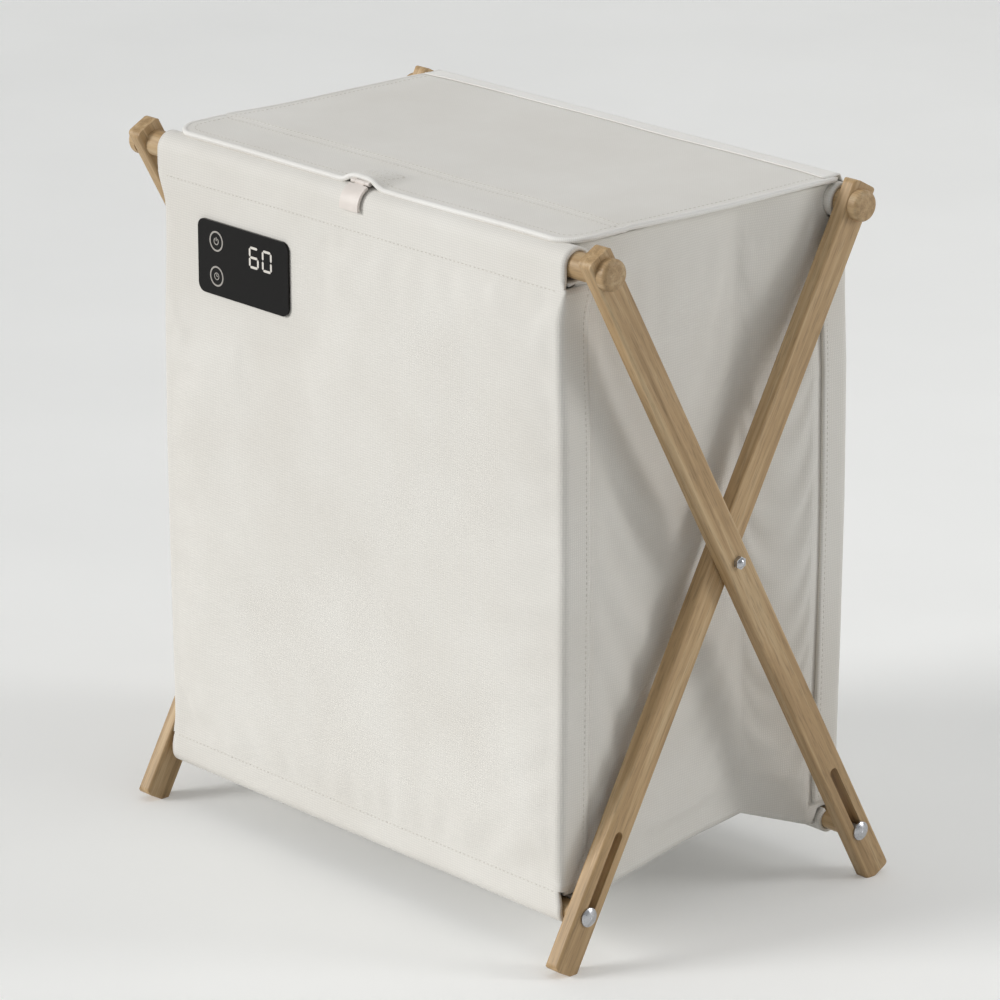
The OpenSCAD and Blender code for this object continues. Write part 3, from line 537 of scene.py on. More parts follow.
sideSettings = {
    "sheet": 0.0022,
    "strip": 0.031,          # flat strip beside each corner
    "pinchTop": 0.015,       # how far the crease is drawn in
    "pinchBottom": 0.018,
    "creaseTop": 0.042,      # how far the crease lies behind the middle
    "creaseBottom": 0.062,
    "creaseRound": 0.03,     # roundness of the crease, as a share of the way to the strip
    "creaseHeld": 0.85,      # how firmly the crease is held, and over what width
    "creaseWidth": 0.009,
    "rise": 0.026,           # how far the bottom crease is raised
    "hemTop": 0.012,         # beside the hem its lower edge lies this far above the hem's middle
    "overHem": (-0.006, 0.002),    # it rises to there between these, from the hem's inner side
    "behind": 0.012,         # drawn in from here, behind the sleeve, to pass it
    "below": 0.012,          # and from here, below the sleeve
    "waist": 0.72,           # it meets the sleeve this far round, as a share of the sleeve's radius
    "underWrap": 0.0034,     # how far it lies inside the wall's edge, under the wrap and beyond it
    "inside": 0.0016,
    "wrapEdge": (0.023, 0.036),    # from one to the other between these, away from the corner
    "tuck": 0.034,           # the top edge that leans in under the lid
    "underLid": 0.0025,
    "bulge": 0.0030,
    "looseFrom": (0.024, 0.040),    # free to move beyond these, away from the corners
    "looseTop": 0.93,
    "looseLow": (-0.02, 0.08),
    "waveLength": 0.11,
    "waveHeight": 0.0018,
    "depthSteps": 84,
    "heightSteps": 84,
    "topFrom": 0.93,         # from this share of the height on, finer rows behind the sleeves
    "topSteps": 20,
    "flat": (0.312, 0.555),
}
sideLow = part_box("side_gusset_right")[0].z
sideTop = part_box("side_gusset_right")[1].z
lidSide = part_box("lid_piping")[1].x
hemClear = hem["out"] - hem["r"]
lidSettings = {
    "strip": 0.054,          # soft strip in front of the board
    "raise": 0.0030,         # the board stands a little above the sleeves
    "raiseSide": 0.3,        # share of that which is left at the sides
    "kink": 0.0062,          # the edge lifts over the lock
    "kinkHalf": 0.019,
    "sag": 0.0012,           # the board sags between its ends
    "droop": (0.0006, 0.0010),    # the strip falls to the front, and its edge falls a little more
    "seam": 0.0009,          # depth and width of the groove of the strip's seam
    "seamHalf": 0.0022,
    "waveLength": 0.1,
    "waveHeight": 0.0009,
    "above": 0.0036,         # upper face above the underside
    "thick": 0.0030,
    "piping": 0.0023,        # radius of the piping, and how far its middle lies below the upper face
    "pipingSunk": 0.0014,
    "corner": 0.024,
    "edgeSteps": (60, 160),  # points of the piping along a side and along the front
    "steps": (90, 141),      # rows from front to rear, columns from side to side
}
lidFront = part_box("lid_piping")[0].y + 0.0004
lidBack = rail["out"]
lidHalf = lidSide - 0.0010


def lidReach(y):    # half width of the lid, rounded at its front corners
    ahead = min(lidSettings["corner"], max(0.0, lidFront + lidSettings["corner"] - y))
    return lidHalf - lidSettings["corner"] + math.sqrt(lidSettings["corner"] ** 2 - ahead ** 2)


def bottomRise(y):    # steep behind the front hem, then slow up to the crease, then straight down
    s = sideSettings
    if y < s["creaseBottom"]:
        return s["rise"] * math.sqrt(max(0.0, y + hemClear) / (s["creaseBottom"] + hemClear))
    return s["rise"] * max(0.0, hemClear - y) / (hemClear - s["creaseBottom"])


def creaseShare(way):    # 1 on the crease and 0 at a way of 1 from it, with a rounded top
    return max(0.0, 1 + sideSettings["creaseRound"] - math.hypot(way, sideSettings["creaseRound"]))


def sidePoint(u, t, side):
    # a point of the right-hand side wall: u from the front seam to the rear one, t from the bottom up
    s = sideSettings
    fold = seamOut - s["strip"]
    crease = mix(s["creaseBottom"], s["creaseTop"], t)
    y = u if abs(u) >= fold else crease + u / fold * (fold + (crease if u < 0 else -crease))
    nearHem = smooth(hemClear + s["overHem"][0], hemClear + s["overHem"][1], abs(y))
    z = mix(mix(sideLow + bottomRise(y), hem["z"] + s["hemTop"], nearHem), sideTop, t)
    behind = rail["out"] - rail["r"] - s["behind"]
    if abs(y) > behind:    # drawn in to pass behind the sleeve
        waist = s["waist"] * rail["r"]
        reach = rail["out"] - math.sqrt(max(0.0, rail["r"] ** 2 - max(z - rail["z"], -waist) ** 2))
        reach = mix(seamOut, reach, smooth(rail["z"] - rail["r"] - s["below"], rail["z"] - waist, z))
        y = math.copysign(mix(behind, reach, (abs(y) - behind) / (seamOut - behind)), y)
    level = (z - sideLow) / (sideTop - sideLow)
    inset = mix(s["underWrap"], s["inside"], smooth(*s["wrapEdge"], seamOut - abs(y)))
    pinch = creaseShare(u / fold) * mix(s["pinchBottom"], s["pinchTop"], level)
    bulge = 0.0
    if abs(u) < fold:
        bulge = s["bulge"] * math.sin(math.pi * min(1, abs(u) / fold)) * math.sin(math.pi * level)
    ease = math.sin(math.pi / 2 * min(1, (seamOut - abs(y)) / 0.05))
    waves = ease * wobble(side * 0.7, y * 1.8, z, s["waveLength"], s["waveHeight"])
    x = edgeX(z) - inset - pinch + bulge + waves
    return mix(x, min(x, lidReach(y) - s["underLid"]), smooth(sideTop - s["tuck"], sideTop, z)), y, z


def makeSide(name, side):    # creased side wall, from the front seam to the rear one
    s = sideSettings
    us = np.linspace(-seamOut + 0.0006, seamOut - 0.0006, s["depthSteps"] + 1)
    us = snapTo(us, [0.0, seamOut - s["strip"], s["strip"] - seamOut])
    ts = np.linspace(0, s["topFrom"], s["heightSteps"] + 1)
    ts = np.concatenate([ts, np.linspace(s["topFrom"], 1, s["topSteps"] + 1)[1:]])
    points = np.array([[sidePoint(u, t, side) for u in us] for t in ts])
    points[:, :, 0] *= side
    cut = np.zeros(points.shape[:2] + (2,))
    cut[:, 1:, 0] = np.cumsum(np.linalg.norm(np.diff(points, axis=1), axis=2), axis=1)
    cut[:, :, 1] = points[:, :, 2]
    pins = np.ones(points.shape[:2])
    for j, u in enumerate(us):
        held = s["creaseHeld"] * math.exp(-(u / s["creaseWidth"]) ** 2)
        loose = smooth(*s["looseFrom"], seamOut - abs(u)) * (1 - held)
        for i, t in enumerate(ts):
            pins[i, j] = 1 - loose * smooth(1.0, s["looseTop"], t) * smooth(*s["looseLow"], t)
    piece = gridMesh(name, points, cut, coverCloth, pins=pins)
    return flip(piece) if side < 0 else piece


rightSide = makeSide("sideWallRight", 1)
leftSide = makeSide("sideWallLeft", -1)


bottomSettings = {
    "sheet": 0.0022,
    "steps": (64, 91),       # from front to rear, and from side to side
    "edgeIn": 0.0008,        # ends this far inside the hems
    "sideIn": 0.0052,        # and this far inside the bag's sides
    "creaseIn": 0.0012,      # more than that at the crease
    "above": 0.0006,         # lies this far above the lower ends of the sides
    "free": 0.03,            # it waves and may move from this far off the hems on
    "waveLength": 0.12,
    "waveHeight": 0.0016,
    "flat": (0.485, 0.285),
}


def makeBottom():    # hangs between the hems, with the same crease as the side walls
    s = bottomSettings
    edge = hemClear - s["edgeIn"]
    fold = seamOut - sideSettings["strip"]
    crease = sideSettings["creaseBottom"]
    ys = snapTo(np.linspace(-edge, edge, s["steps"][0] + 1), [crease])
    across = np.linspace(-1, 1, s["steps"][1])
    rows, pins = [], []
    for y in ys:
        way = (y - crease) / (fold + crease if y < crease else fold - crease)
        z = sideLow + s["above"] + bottomRise(y)
        reach = edgeX(z) - s["sideIn"] - creaseShare(way) * (sideSettings["pinchBottom"] + s["creaseIn"])
        wave = math.sin(math.pi / 2 * min(1, (edge - abs(y)) / s["free"]))
        row = []
        for c in across:
            lift = wobble(c, y, 0.3, s["waveLength"], s["waveHeight"]) * (1 - abs(c) ** 6) * wave
            row.append((c * reach, y, z + lift))
        rows.append(row)
        pins.append([1 - smooth(0.0, s["free"], edge - abs(y)) * smooth(1.0, 0.93, abs(c)) for c in across])
    points = np.array(rows)
    return gridMesh("bottomPanel", points, points[:, :, :2].copy(), coverCloth, pins=np.array(pins))


bottomPanel = makeBottom()
print("walls, side walls and bottom cut")


liningSettings = {
    "sheet": 0.0014,
    "puff": 0.0020,          # height of the quilting, and the width of its channels
    "channel": 0.054,
    "fieldEdge": 0.005,      # the quilting dies out over this at the heater's top and bottom
    "sideIn": 0.0035,
    "level": 0.205,          # from here on it follows the cover's sides, this far inside them
    "inside": 0.0048,
    "holeIn": 0.0018,        # its hole behind the inlet is this much smaller than the cover's
    "columns": 97,
    "rows": 130,
    "waveLength": 0.07,
    "waveHeight": 0.0006,
}
heatLow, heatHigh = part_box("front_heater_mat")


def makeLining(name, node, side):    # quilted over the heater in level channels
    s = liningSettings
    low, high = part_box(node)
    xs = np.linspace(low.x + s["sideIn"], high.x - s["sideIn"], s["columns"])
    zs = np.linspace(low.z + 0.001, high.z - 0.001, s["rows"])
    holeLeft, holeRight, holeBottom, holeTop = holeEdges(side, 0.0 if side < 0 else -s["holeIn"])
    xs = snapTo(xs, (holeLeft, holeRight))
    zs = snapTo(zs, (holeBottom, holeTop))
    points = np.zeros((len(zs), len(xs), 3))
    for i, z in enumerate(zs):
        inField = smooth(heatLow.z - s["fieldEdge"], heatLow.z + s["fieldEdge"], z)
        inField *= smooth(heatHigh.z + s["fieldEdge"], heatHigh.z - s["fieldEdge"], z)
        channel = abs(math.sin(math.pi * (z - heatLow.z) / s["channel"])) ** 0.6
        sideEdge = min(xs[-1], edgeX(z) - s["inside"])
        for j, x in enumerate(xs):
            ridge = channel * inField * smooth(heatHigh.x + 0.002, heatHigh.x - 0.028, abs(x))
            border = smooth(0.0, 0.03, min(x - low.x, high.x - x, z - low.z, high.z - z))
            bulge = s["puff"] * ridge + wobble(x, side, z, s["waveLength"], s["waveHeight"]) * border
            beyond = max(0.0, abs(x) - s["level"]) / (xs[-1] - s["level"])
            reach = mix(min(abs(x), s["level"]), sideEdge, beyond)
            points[i, j] = (math.copysign(reach, x), side * (seamOut - 0.0002 - bulge), z)

    def drop(i, j):    # the hole behind the control panel or the inlet
        x, z = (xs[j] + xs[j + 1]) / 2, (zs[i] + zs[i + 1]) / 2
        return holeLeft < x < holeRight and holeBottom < z < holeTop

    lining = gridMesh(name, points, points[:, :, [0, 2]].copy(), liningCloth, drop=drop)
    return thicken(flip(lining) if side > 0 else lining, s["sheet"])


frontLining = makeLining("frontLiningQuilt", "front_lining", -1)
rearLining = makeLining("rearLiningQuilt", "rear_lining", 1)
print("linings made")


def lidTop(x, y):    # height of the lid's upper face
    s = lidSettings
    crease = lidFront + s["strip"]
    lift = s["raise"] * (1 - smooth(crease + 0.010, crease - 0.014, y))
    inwards = smooth(lidHalf, lidHalf - 0.04, abs(x))
    lift *= smooth(lidBack, lidBack - 0.03, y) * mix(s["raiseSide"], 1.0, inwards)
    fall = -s["droop"][0] * smooth(crease, lidFront, y) - s["droop"][1] * smooth(lidFront + 0.02, lidFront, y)
    kink = s["kink"] * math.exp(-(((x + 0.002) / s["kinkHalf"]) ** 4))
    kink *= smooth(lidFront + 0.045, lidFront + 0.004, y)
    sag = -s["sag"] * math.sin(math.pi * (y - crease) / (lidBack - crease)) if y > crease else 0.0
    seam = -s["seam"] * math.exp(-((y - crease) / s["seamHalf"]) ** 2)
    waves = wobble(x, y, 0.9, s["waveLength"], s["waveHeight"])
    return lidUnder + s["above"] + lift + fall + kink + sag + seam + waves


def makeLid():    # a fabric-covered board with a soft front strip
    s = lidSettings
    r = s["corner"]
    ys = lidFront + r * (1 - np.cos(np.linspace(0, math.pi / 2, 9)))
    ys = np.concatenate([ys, np.linspace(lidFront + r, lidBack, s["steps"][0])[1:]])
    rows = []
    for y in ys:
        rows.append([(c * lidReach(y), y, lidTop(c * lidReach(y), y))
            for c in np.linspace(-1, 1, s["steps"][1])])
    points = np.array(rows)
    return thicken(gridMesh("lidCover", points, points[:, :, :2].copy(), coverCloth), s["thick"])


def makeTube(name, path, radius, material, sides=12):    # a cord of cloth along points, closed at its ends
    path = np.array(path)
    tangent = np.gradient(path, axis=0)
    tangent /= np.linalg.norm(tangent, axis=1)[:, None]
    across = np.cross(tangent, np.array([0.0, 0.0, 1.0]))
    across /= np.linalg.norm(across, axis=1)[:, None]
    above = np.cross(across, tangent)
    turns = np.linspace(0, 2 * math.pi, sides, endpoint=False)
    cosine, sine = np.cos(turns)[None, :, None], np.sin(turns)[None, :, None]
    rings = cosine * across[:, None, :] + sine * above[:, None, :]
    run = np.concatenate([[0], np.cumsum(np.linalg.norm(np.diff(path, axis=0), axis=1))])
    cut = np.stack(np.broadcast_arrays(run[:, None], turns[None, :] * radius), axis=2)
    return gridMesh(name, path[:, None, :] + radius * rings, cut, material, closed=True)


def lidOutline(inset, short, along, front):
    # up the lid's left side, along its front and back along its right side
    half, ahead, r = lidHalf - inset, lidFront + inset, lidSettings["corner"] - inset
    turns = np.linspace(0, math.pi / 2, 12)[1:]
    path = [(-half, y) for y in np.linspace(lidBack - short, ahead + r, along)]
    path += [(-half + r - r * math.cos(a), ahead + r - r * math.sin(a)) for a in turns]
    path += [(x, ahead) for x in np.linspace(-half + r, half - r, front)[1:]]
    path += [(half - r + r * math.sin(a), ahead + r - r * math.cos(a)) for a in turns]
    path += [(half, y) for y in np.linspace(ahead + r, lidBack - short, along)[1:]]
    return path


def makePiping():
    s = lidSettings
    path = [(x, y, lidTop(x, y) - s["pipingSunk"]) for x, y in lidOutline(0.0, 0.004, *s["edgeSteps"])]
    return makeTube("lidPiping", path, s["piping"], bindingCloth)


tapeSettings = {
    "width": 0.030,
    "sheet": 0.0011,
    "onLid": 0.45,           # share of the width that lies on the lid
    "clear": 0.0004,         # lies this far off the lid and the sleeve
    "turn": (84, 30, 14),    # round the sleeve: degrees from and to, and steps
    "bridge": (80, 62),      # leaves the lid's level between these
    "columns": 101,
}


def makeHingeTape():    # ribbed tape that joins the lid to the rear sleeve
    s = tapeSettings
    profile = [(lidBack - d, lidTop(0, lidBack - d) + s["clear"])
        for d in np.linspace(s["width"] * s["onLid"], 0.003, 8)]
    over = rail["r"] + s["clear"]
    joint = profile[-1]
    for a in np.radians(np.linspace(*s["turn"])):
        y, z = rail["out"] + over * math.cos(a), rail["z"] + over * math.sin(a)
        near = smooth(*s["bridge"], math.degrees(a))
        profile.append((y, mix(max(z, mix(joint[1], z, near)), z, near)))
    xs = np.linspace(-lidHalf + 0.001, lidHalf - 0.001, s["columns"])
    rows = []
    for y, z in profile:    # follows the lid's unevenness where it lies on it
        onLid = smooth(lidBack + 0.004, lidBack - 0.004, y)
        rows.append([(x, y, z + (lidTop(x, min(y, lidBack)) - lidTop(0, min(y, lidBack))) * onLid)
            for x in xs])
    points = np.array(rows)
    cut = np.zeros(points.shape[:2] + (2,))
    cut[:, :, 0] = xs[None, :]
    cut[1:, :, 1] = np.cumsum(np.linalg.norm(np.diff(points, axis=0), axis=2), axis=0)
    tape = gridMesh("lidHingeTape", points, cut, bindingCloth)
    return thicken(tape, s["sheet"], offset=1.0)


lidCover = makeLid()
piping = makePiping()
hingeTape = makeHingeTape()
print("lid made")

relax([(frontWall, "wall"), (rearWall, "wall"), (rightSide, "side"), (leftSide, "side"),
    (bottomPanel, "bottom")])
thicken(frontWall, wallSettings["sheet"])
thicken(rearWall, wallSettings["sheet"])
thicken(rightSide, sideSettings["sheet"])
thicken(leftSide, sideSettings["sheet"])
thicken(bottomPanel, bottomSettings["sheet"], offset=1.0)

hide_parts("front_panel", "front_bottom_hem")
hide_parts("rear_panel", "rear_bottom_hem")
for wall, body in ((frontWall, "front_wall"), (rearWall, "rear_wall")):
    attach(wall, body)


def restOnRear(piece):    # follows the rear wall
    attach(piece, "rear_wall")
    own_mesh(piece)


for piece, node in ((rightSide, "side_gusset_right"), (leftSide, "side_gusset_left")):
    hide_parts(node)
    restOnRear(piece)
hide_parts("bottom_panel")
restOnRear(bottomPanel)

for quilt, node, body in ((frontLining, "front_lining", "front_wall"),
        (rearLining, "rear_lining", "rear_wall")):
    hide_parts(node)
    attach(quilt, body)

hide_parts("lid_cover", "lid_board")
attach(lidCover, "lid")
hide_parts("lid_piping")
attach(piping, "lid")
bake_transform(hingeTape)
print("cloth pieces joined to their bodies")


stitchSettings = {
    "length": 0.0034,
    "gap": 0.0014,
    "thick": 0.00042,
    "sunk": 0.0001,
    "reach": (0.05, 0.12),    # how far off the cloth the search starts, and how far it goes
    # way along, height, width
    "bars": ((0.0, -0.6, 0.3), (0.22, 0.8, 1.0), (0.78, 0.8, 1.0), (1.0, -0.6, 0.3)),
}


def sewRow(name, piece, path, look, body):
    # one row of stitches where the path meets the piece, looked at along look
    s = stitchSettings
    tree = BVHTree.FromObject(piece, bpy.context.evaluated_depsgraph_get())
    look = Vector(look).normalized()
    verts, faces, hits = [], [], []
    for spot in path:
        place, normal, _, _ = tree.ray_cast(Vector(spot) - look * s["reach"][0], look, s["reach"][1])
        if place is not None:
            hits.append((place, normal if normal.dot(look) < 0 else -normal))
    run = [0.0]
    for k in range(1, len(hits)):
        run.append(run[-1] + (hits[k][0] - hits[k - 1][0]).length)
    start = s["gap"]
    while hits and start + s["length"] < run[-1]:
        ends = []
        for d in (start, start + s["length"]):
            k = min(len(run) - 2, max(0, int(np.searchsorted(run, d)) - 1))
            share = (d - run[k]) / max(1e-9, run[k + 1] - run[k])
            ends.append((hits[k][0].lerp(hits[k + 1][0], share), hits[k][1]))
        start += s["length"] + s["gap"]
        (a, up), (b, _) = ends
        along = b - a
        if not s["length"] * 0.5 < along.length < s["length"] * 1.5:
            continue
        aside = along.cross(up).normalized() * s["thick"]
        lift = up * s["thick"]
        first = len(verts)
        for share, high, wide in s["bars"]:
            c = a + along * share - up * s["sunk"]
            verts += [tuple(c - aside * wide - lift * 0.8), tuple(c - aside * wide * 0.7 + lift * high)]
            verts += [tuple(c + aside * wide * 0.7 + lift * high), tuple(c + aside * wide - lift * 0.8)]
        for r in range(3):
            for q in range(4):
                k = first + 4 * r
                faces.append([k + q, k + (q + 1) % 4, k + 4 + (q + 1) % 4, k + 4 + q])
        faces += [[first + 3, first + 2, first + 1, first], [first + 12, first + 13, first + 14, first + 15]]
    row = newPiece(name, verts, faces, stitchThread)
    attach(row, body)


seamSettings = {
    "sleeve": 0.0055,     # seam of the sleeve, below its round
    "hem": 0.0050,        # seam of the hem, above its round
    "wrapIn": 0.0045,     # stitch row from the rear edge of the corner wrap
    "lidEdge": 0.0085,    # row round the lid, inside its piping
    "lidShort": 0.016,    # that row ends this far before the hinge
    "strip": 0.0040,      # rows beside the lid's crease
    "boxIn": 0.004,       # box stitch that holds the lock's tape behind its plate: past its sides,
    "box": (0.003, 0.022),    # and from and to behind it
    "sideIn": 0.010,      # rows end this far from the wall's edges
    "ends": (0.004, 0.005),    # and the corner rows this far below the sleeve and above the hem
    "steps": 240,
}


def sewWall(label, piece, side, body):    # rows of the sleeve, the hem and the two corner wraps
    s = seamSettings
    under, over = rail["z"] - rail["r"], hem["z"] + hem["r"]
    wide = np.linspace(-halfWidth + s["sideIn"], halfWidth - s["sideIn"], s["steps"])
    tall = np.linspace(under - s["ends"][0], over + s["ends"][1], s["steps"])
    sewRow(label + "SleeveSeam", piece, [(x, side * faceOut, under - s["sleeve"]) for x in wide],
        (0, -side, 0), body)
    sewRow(label + "HemSeam", piece, [(x, side * faceOut, over + s["hem"]) for x in wide], (0, -side, 0),
        body)
    inY = faceOut - wallSettings["wrap"] + s["wrapIn"]
    for way, hand in ((1, "Right"), (-1, "Left")):
        sewRow(label + "CornerSeam" + hand, piece, [(way * halfWidth, side * inY, z) for z in tall],
            (-way, 0, 0), body)


sewWall("front", frontWall, -1, "front_wall")
sewWall("rear", rearWall, 1, "rear_wall")


def sewLid():    # rows round the lid, beside its crease and on the lock's tape
    s = seamSettings
    down = (0, 0, -1)
    outline = lidOutline(s["lidEdge"], s["lidShort"], 80, 200)
    sewRow("lidEdgeSeam", lidCover, [(x, y, lidUnder) for x, y in outline], down, "lid")
    inner = lidHalf - s["lidEdge"]
    for label, shift in (("Fore", -s["strip"]), ("Aft", s["strip"])):
        y = lidFront + lidSettings["strip"] + shift
        straight = [(x, y, lidUnder) for x in np.linspace(-inner, inner, s["steps"])]
        sewRow("lidStripSeam" + label, lidCover, straight, down, "lid")
    low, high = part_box("lock_base")
    x0, x1 = low.x - s["boxIn"], high.x + s["boxIn"]
    y0, y1 = high.y + s["box"][0], high.y + s["box"][1]
    turns = [(x0, y0), (x1, y0), (x1, y1), (x0, y1), (x0, y0), (x1, y1)]
    dense = []
    for a, b in zip(turns, turns[1:]):
        dense += [(mix(a[0], b[0], t), mix(a[1], b[1], t), lidUnder) for t in np.linspace(0, 1, 12)]
    sewRow("lockBoxStitch", lidCover, dense, down, "lid")


sewLid()
print("seams sewn")


printSettings = {
    "ringIn": 0.00725,
    "ringOut": 0.0087,
    "digitHigh": 0.0185,
    "digitWide": 0.0125,
    "stroke": 0.0021,
    "gap": 0.0042,
    "left": 0.0095,          # from the panel's middle to the first digit
    "rise": 0.0105,          # digits' middle above the panel's middle
    "mark": 0.0032,          # radius of the mark on a button
    "trim": 0.0004,          # a digit's bars are cut this much short at each end
    "proud": 0.00012,
}
panelFace = panelLow.y
panelMid = (panelLow + panelHigh) / 2


def flatPiece(name, shapes, material, y, body="front_wall"):
    # thin outlines in width and height, laid on the panel
    verts, faces = [], []
    for outline in shapes:
        first = len(verts)
        n = len(outline)
        verts += [(x, y, z) for x, z in outline] + [(x, y - printSettings["proud"], z) for x, z in outline]
        faces.append([first + n + k for k in range(n)])
        faces += [[first + k, first + (k + 1) % n, first + n + (k + 1) % n, first + n + k] for k in range(n)]
    piece = newPiece(name, verts, faces, material, eased=False)
    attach(piece, body)


def segment(x0, z0, x1, z1, w):    # a bar with pointed ends between two points
    dx, dz = x1 - x0, z1 - z0
    length = math.hypot(dx, dz)
    ux, uz = dx / length, dz / length
    px, pz = -uz * w / 2, ux * w / 2
    a, b = w / 2, length - w / 2
    upper = [(x0 + ux * a + px, z0 + uz * a + pz), (x0 + ux * b + px, z0 + uz * b + pz)]
    lower = [(x0 + ux * b - px, z0 + uz * b - pz), (x0 + ux * a - px, z0 + uz * a - pz)]
    return [(x0, z0)] + upper + [(x1, z1)] + lower


def digitShapes(number, x, z):    # bars of a seven-segment digit, x is its left side and z its middle
    s = printSettings
    w, h = s["digitWide"] - s["stroke"], (s["digitHigh"] - s["stroke"]) / 2
    ends = {    # of each bar: column and row where it starts, column and row where it ends
        "a": (0, 2, 1, 2), "b": (1, 2, 1, 1), "c": (1, 1, 1, 0), "d": (1, 0, 0, 0),
        "e": (0, 0, 0, 1), "f": (0, 1, 0, 2), "g": (0, 1, 1, 1),
    }
    shapes = []
    for bar in {"6": "acdefg", "0": "abcdef"}[number]:
        i0, k0, i1, k1 = ends[bar]
        x0, z0, x1, z1 = x + i0 * w, z + (k0 - 1) * h, x + i1 * w, z + (k1 - 1) * h
        trim = s["trim"] / math.hypot(x1 - x0, z1 - z0)
        x0, x1 = x0 + (x1 - x0) * trim, x1 - (x1 - x0) * trim
        z0, z1 = z0 + (z1 - z0) * trim, z1 - (z1 - z0) * trim
        shapes.append(segment(x0, z0, x1, z1, s["stroke"]))
    return shapes


def ringShapes(cx, cz, inner, outer, count=72, start=0.0, end=2 * math.pi):
    # a ring or an arc, in short steps
    shapes = []
    for k in range(count):
        a, b = start + (end - start) * k / count, start + (end - start) * (k + 1) / count
        corners = ((inner, a), (outer, a), (outer, b), (inner, b))
        shapes.append([(cx + r * math.cos(t), cz + r * math.sin(t)) for r, t in corners])
    return shapes


firstDigit = panelMid.x + printSettings["left"]
nextDigit = firstDigit + printSettings["digitWide"] + printSettings["gap"]
digitZ = panelMid.z + printSettings["rise"]
flatPiece("displayDigits", digitShapes("6", firstDigit, digitZ) + digitShapes("0", nextDigit, digitZ),
    litSegment, panelFace)
rings = []
for button in ("power_button", "timer_button"):
    spot = middle(button)
    rings += ringShapes(spot.x, spot.z, printSettings["ringIn"], printSettings["ringOut"])
flatPiece("buttonRings", rings, panelPrint, panelFace)
size = printSettings["mark"]
spot = middle("power_button")    # an open ring with a bar in its gap
openRing = ringShapes(spot.x, spot.z, size * 0.72, size, 36, math.radians(125), math.radians(415))
bar = segment(spot.x, spot.z, spot.x, spot.z + size * 1.15, size * 0.3)
flatPiece("powerMark", openRing + [bar], panelPrint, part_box("power_button")[0].y, "power_button")
spot = middle("timer_button")    # a dial with two hands
dial = ringShapes(spot.x, spot.z, size * 0.76, size, 36)
hands = [segment(spot.x, spot.z, spot.x, spot.z + size * 0.62, size * 0.26)]
hands.append(segment(spot.x, spot.z, spot.x + size * 0.5, spot.z, size * 0.26))
flatPiece("timerMark", dial + hands, panelPrint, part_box("timer_button")[0].y, "timer_button")
print("panel print made")


stageSettings = {
    "floor": "#EFEFED",
    "shade": "#EBEBE9",
    "glow": 0.16,        # only the eye and reflections see it
    "width": 16.0,       # to each side
    "front": 16.0,
    "depth": 7.0,        # to the rear wall
    "bend": 1.6,         # radius of the bend up into it
    "height": 4.5,
    "turn": 47.6,        # degrees, faces the camera
    "below": 0.0001,
}

# matt wall paint, rolled: even, with faint clouds of 300 mm
floorPaint, floorTree, floorShader = startMaterial("mattPaintedFloor")
floorPlace = addNode(floorTree, "ShaderNodeTexCoord").outputs["Object"]
floorMist = addNode(floorTree, "ShaderNodeTexNoise",
    {"Vector": floorPlace, "Scale": 3.0, "Detail": 3.0}).outputs["Fac"]
floorTone = addNode(floorTree, "ShaderNodeValToRGB", {"Fac": floorMist},
    stops=[(0.3, linear(stageSettings["shade"])), (0.7, linear(stageSettings["floor"]))]).outputs[0]
floorTree.links.new(floorTone, floorShader.inputs["Base Color"])
floorShader.inputs["Roughness"].default_value = 0.85
# the backdrop is paler to the eye, and lights nothing
seenBy = addNode(floorTree, "ShaderNodeLightPath").outputs
seen = addNode(floorTree, "ShaderNodeMath", {0: seenBy["Is Camera Ray"], 1: seenBy["Is Glossy Ray"]},
    operation="ADD").outputs[0]
seen = addNode(floorTree, "ShaderNodeMath", {0: seen, 1: seenBy["Is Transmission Ray"]},
    operation="ADD").outputs[0]
floorGlow = addNode(floorTree, "ShaderNodeMath", {0: seen, 1: stageSettings["glow"]},
    operation="MULTIPLY").outputs[0]
floorTree.links.new(floorGlow, floorShader.inputs["Emission Strength"])
floorShader.inputs["Emission Color"].default_value = linear(stageSettings["floor"])


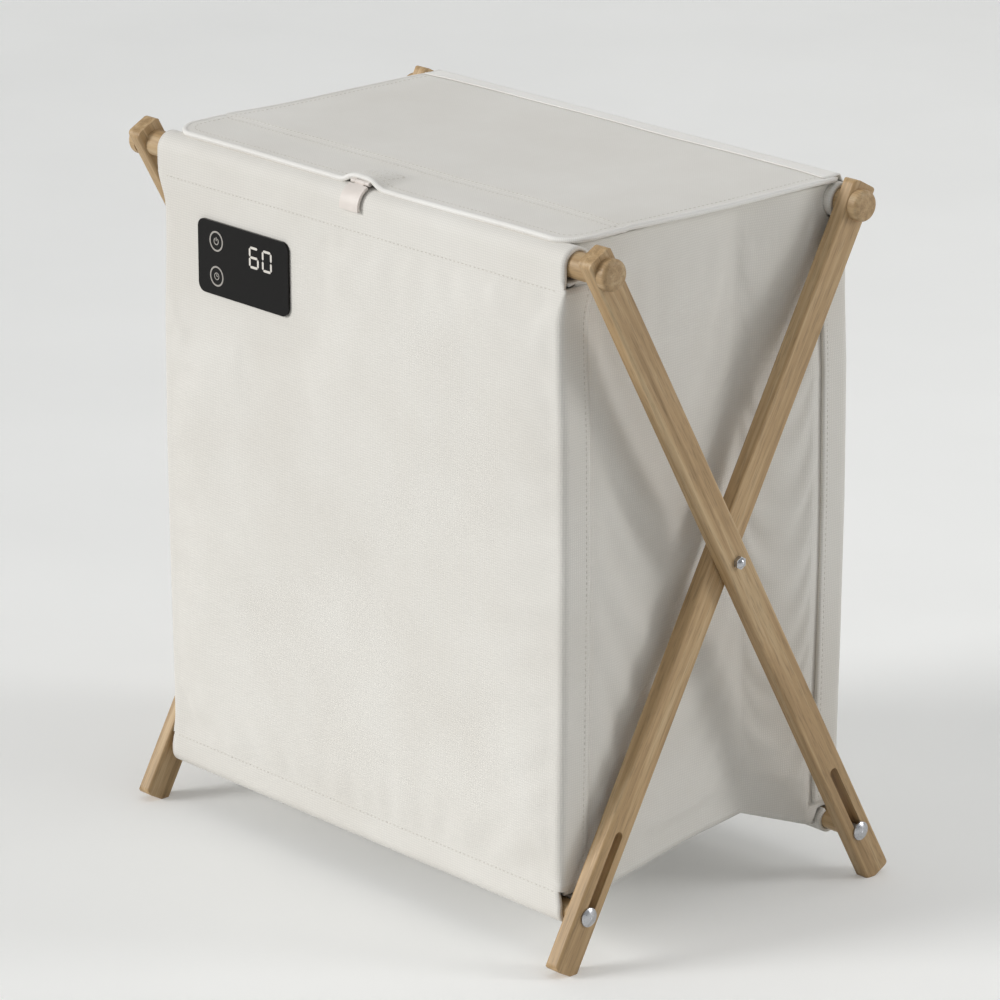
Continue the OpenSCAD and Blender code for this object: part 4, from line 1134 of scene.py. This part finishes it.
def makeStage():    # floor that bends up into a wall behind the object
    s = stageSettings
    flat = s["depth"] - s["bend"]
    turns = np.linspace(0, math.pi / 2, 16)[1:]
    profile = [(-s["front"], 0.0), (flat, 0.0)]
    profile += [(flat + s["bend"] * math.sin(a), s["bend"] * (1 - math.cos(a))) for a in turns]
    profile.append((s["depth"], s["height"]))
    cosine, sine = math.cos(math.radians(s["turn"])), math.sin(math.radians(s["turn"]))
    wide = np.linspace(-s["width"], s["width"], 5)
    rows = []
    for d, z in profile:
        rows.append([(w * cosine - d * sine, w * sine + d * cosine, z - s["below"]) for w in wide])
    points = np.array(rows)
    gridMesh("studioFloor", points, points[:, :, :2].copy(), floorPaint)


makeStage()

cameraSettings = {
    "place": (3.045, -2.752, 1.641),
    "aim": (0.0, 0.0, 0.298),
    "lens": 186.0,
    "sensor": 36.0,
    "far": 60.0,
}


def setDown(name, data, place, aim):    # puts a camera or a lamp at a place, turned to what it aims at
    holder = bpy.data.objects.new(name, data)
    scene.collection.objects.link(holder)
    holder.location = place
    holder.rotation_euler = (Vector(aim) - Vector(place)).to_track_quat("-Z", "Y").to_euler()
    return holder


camera = bpy.data.cameras.new("photoCamera")
camera.lens = cameraSettings["lens"]
camera.sensor_width = cameraSettings["sensor"]
camera.clip_end = cameraSettings["far"]
scene.camera = setDown("photoCamera", camera, cameraSettings["place"], cameraSettings["aim"])

lampSettings = [
    {"name": "frontWindow", "kind": "SUN", "place": (-2.4, -4.0, 2.0),
     "look": {"energy": 2.15, "angle": math.radians(25)}},
    {"name": "rearStrip", "kind": "AREA", "place": (3.4, 3.0, 1.9),
     "look": {"energy": 60.0, "shape": "RECTANGLE", "size": 1.2, "size_y": 2.4}},
    {"name": "topFill", "kind": "AREA", "place": (0.4, 0.4, 4.2),
     "look": {"energy": 28.0, "shape": "SQUARE", "size": 3.0}},
]
lampAim = (0, 0, 0.3)
for lamp in lampSettings:
    data = bpy.data.lights.new(lamp["name"], lamp["kind"])
    for field, value in lamp["look"].items():
        setattr(data, field, value)
    setDown(lamp["name"], data, lamp["place"], lampAim)

airSettings = {"colour": "#E6E8EA", "strength": 0.36}    # even, slightly cool light from all round
world = bpy.data.worlds.new("studioAir")
scene.world = world
world.use_nodes = True
world.node_tree.nodes["Background"].inputs["Color"].default_value = linear(airSettings["colour"])
world.node_tree.nodes["Background"].inputs["Strength"].default_value = airSettings["strength"]
print("stage, camera and lights made")
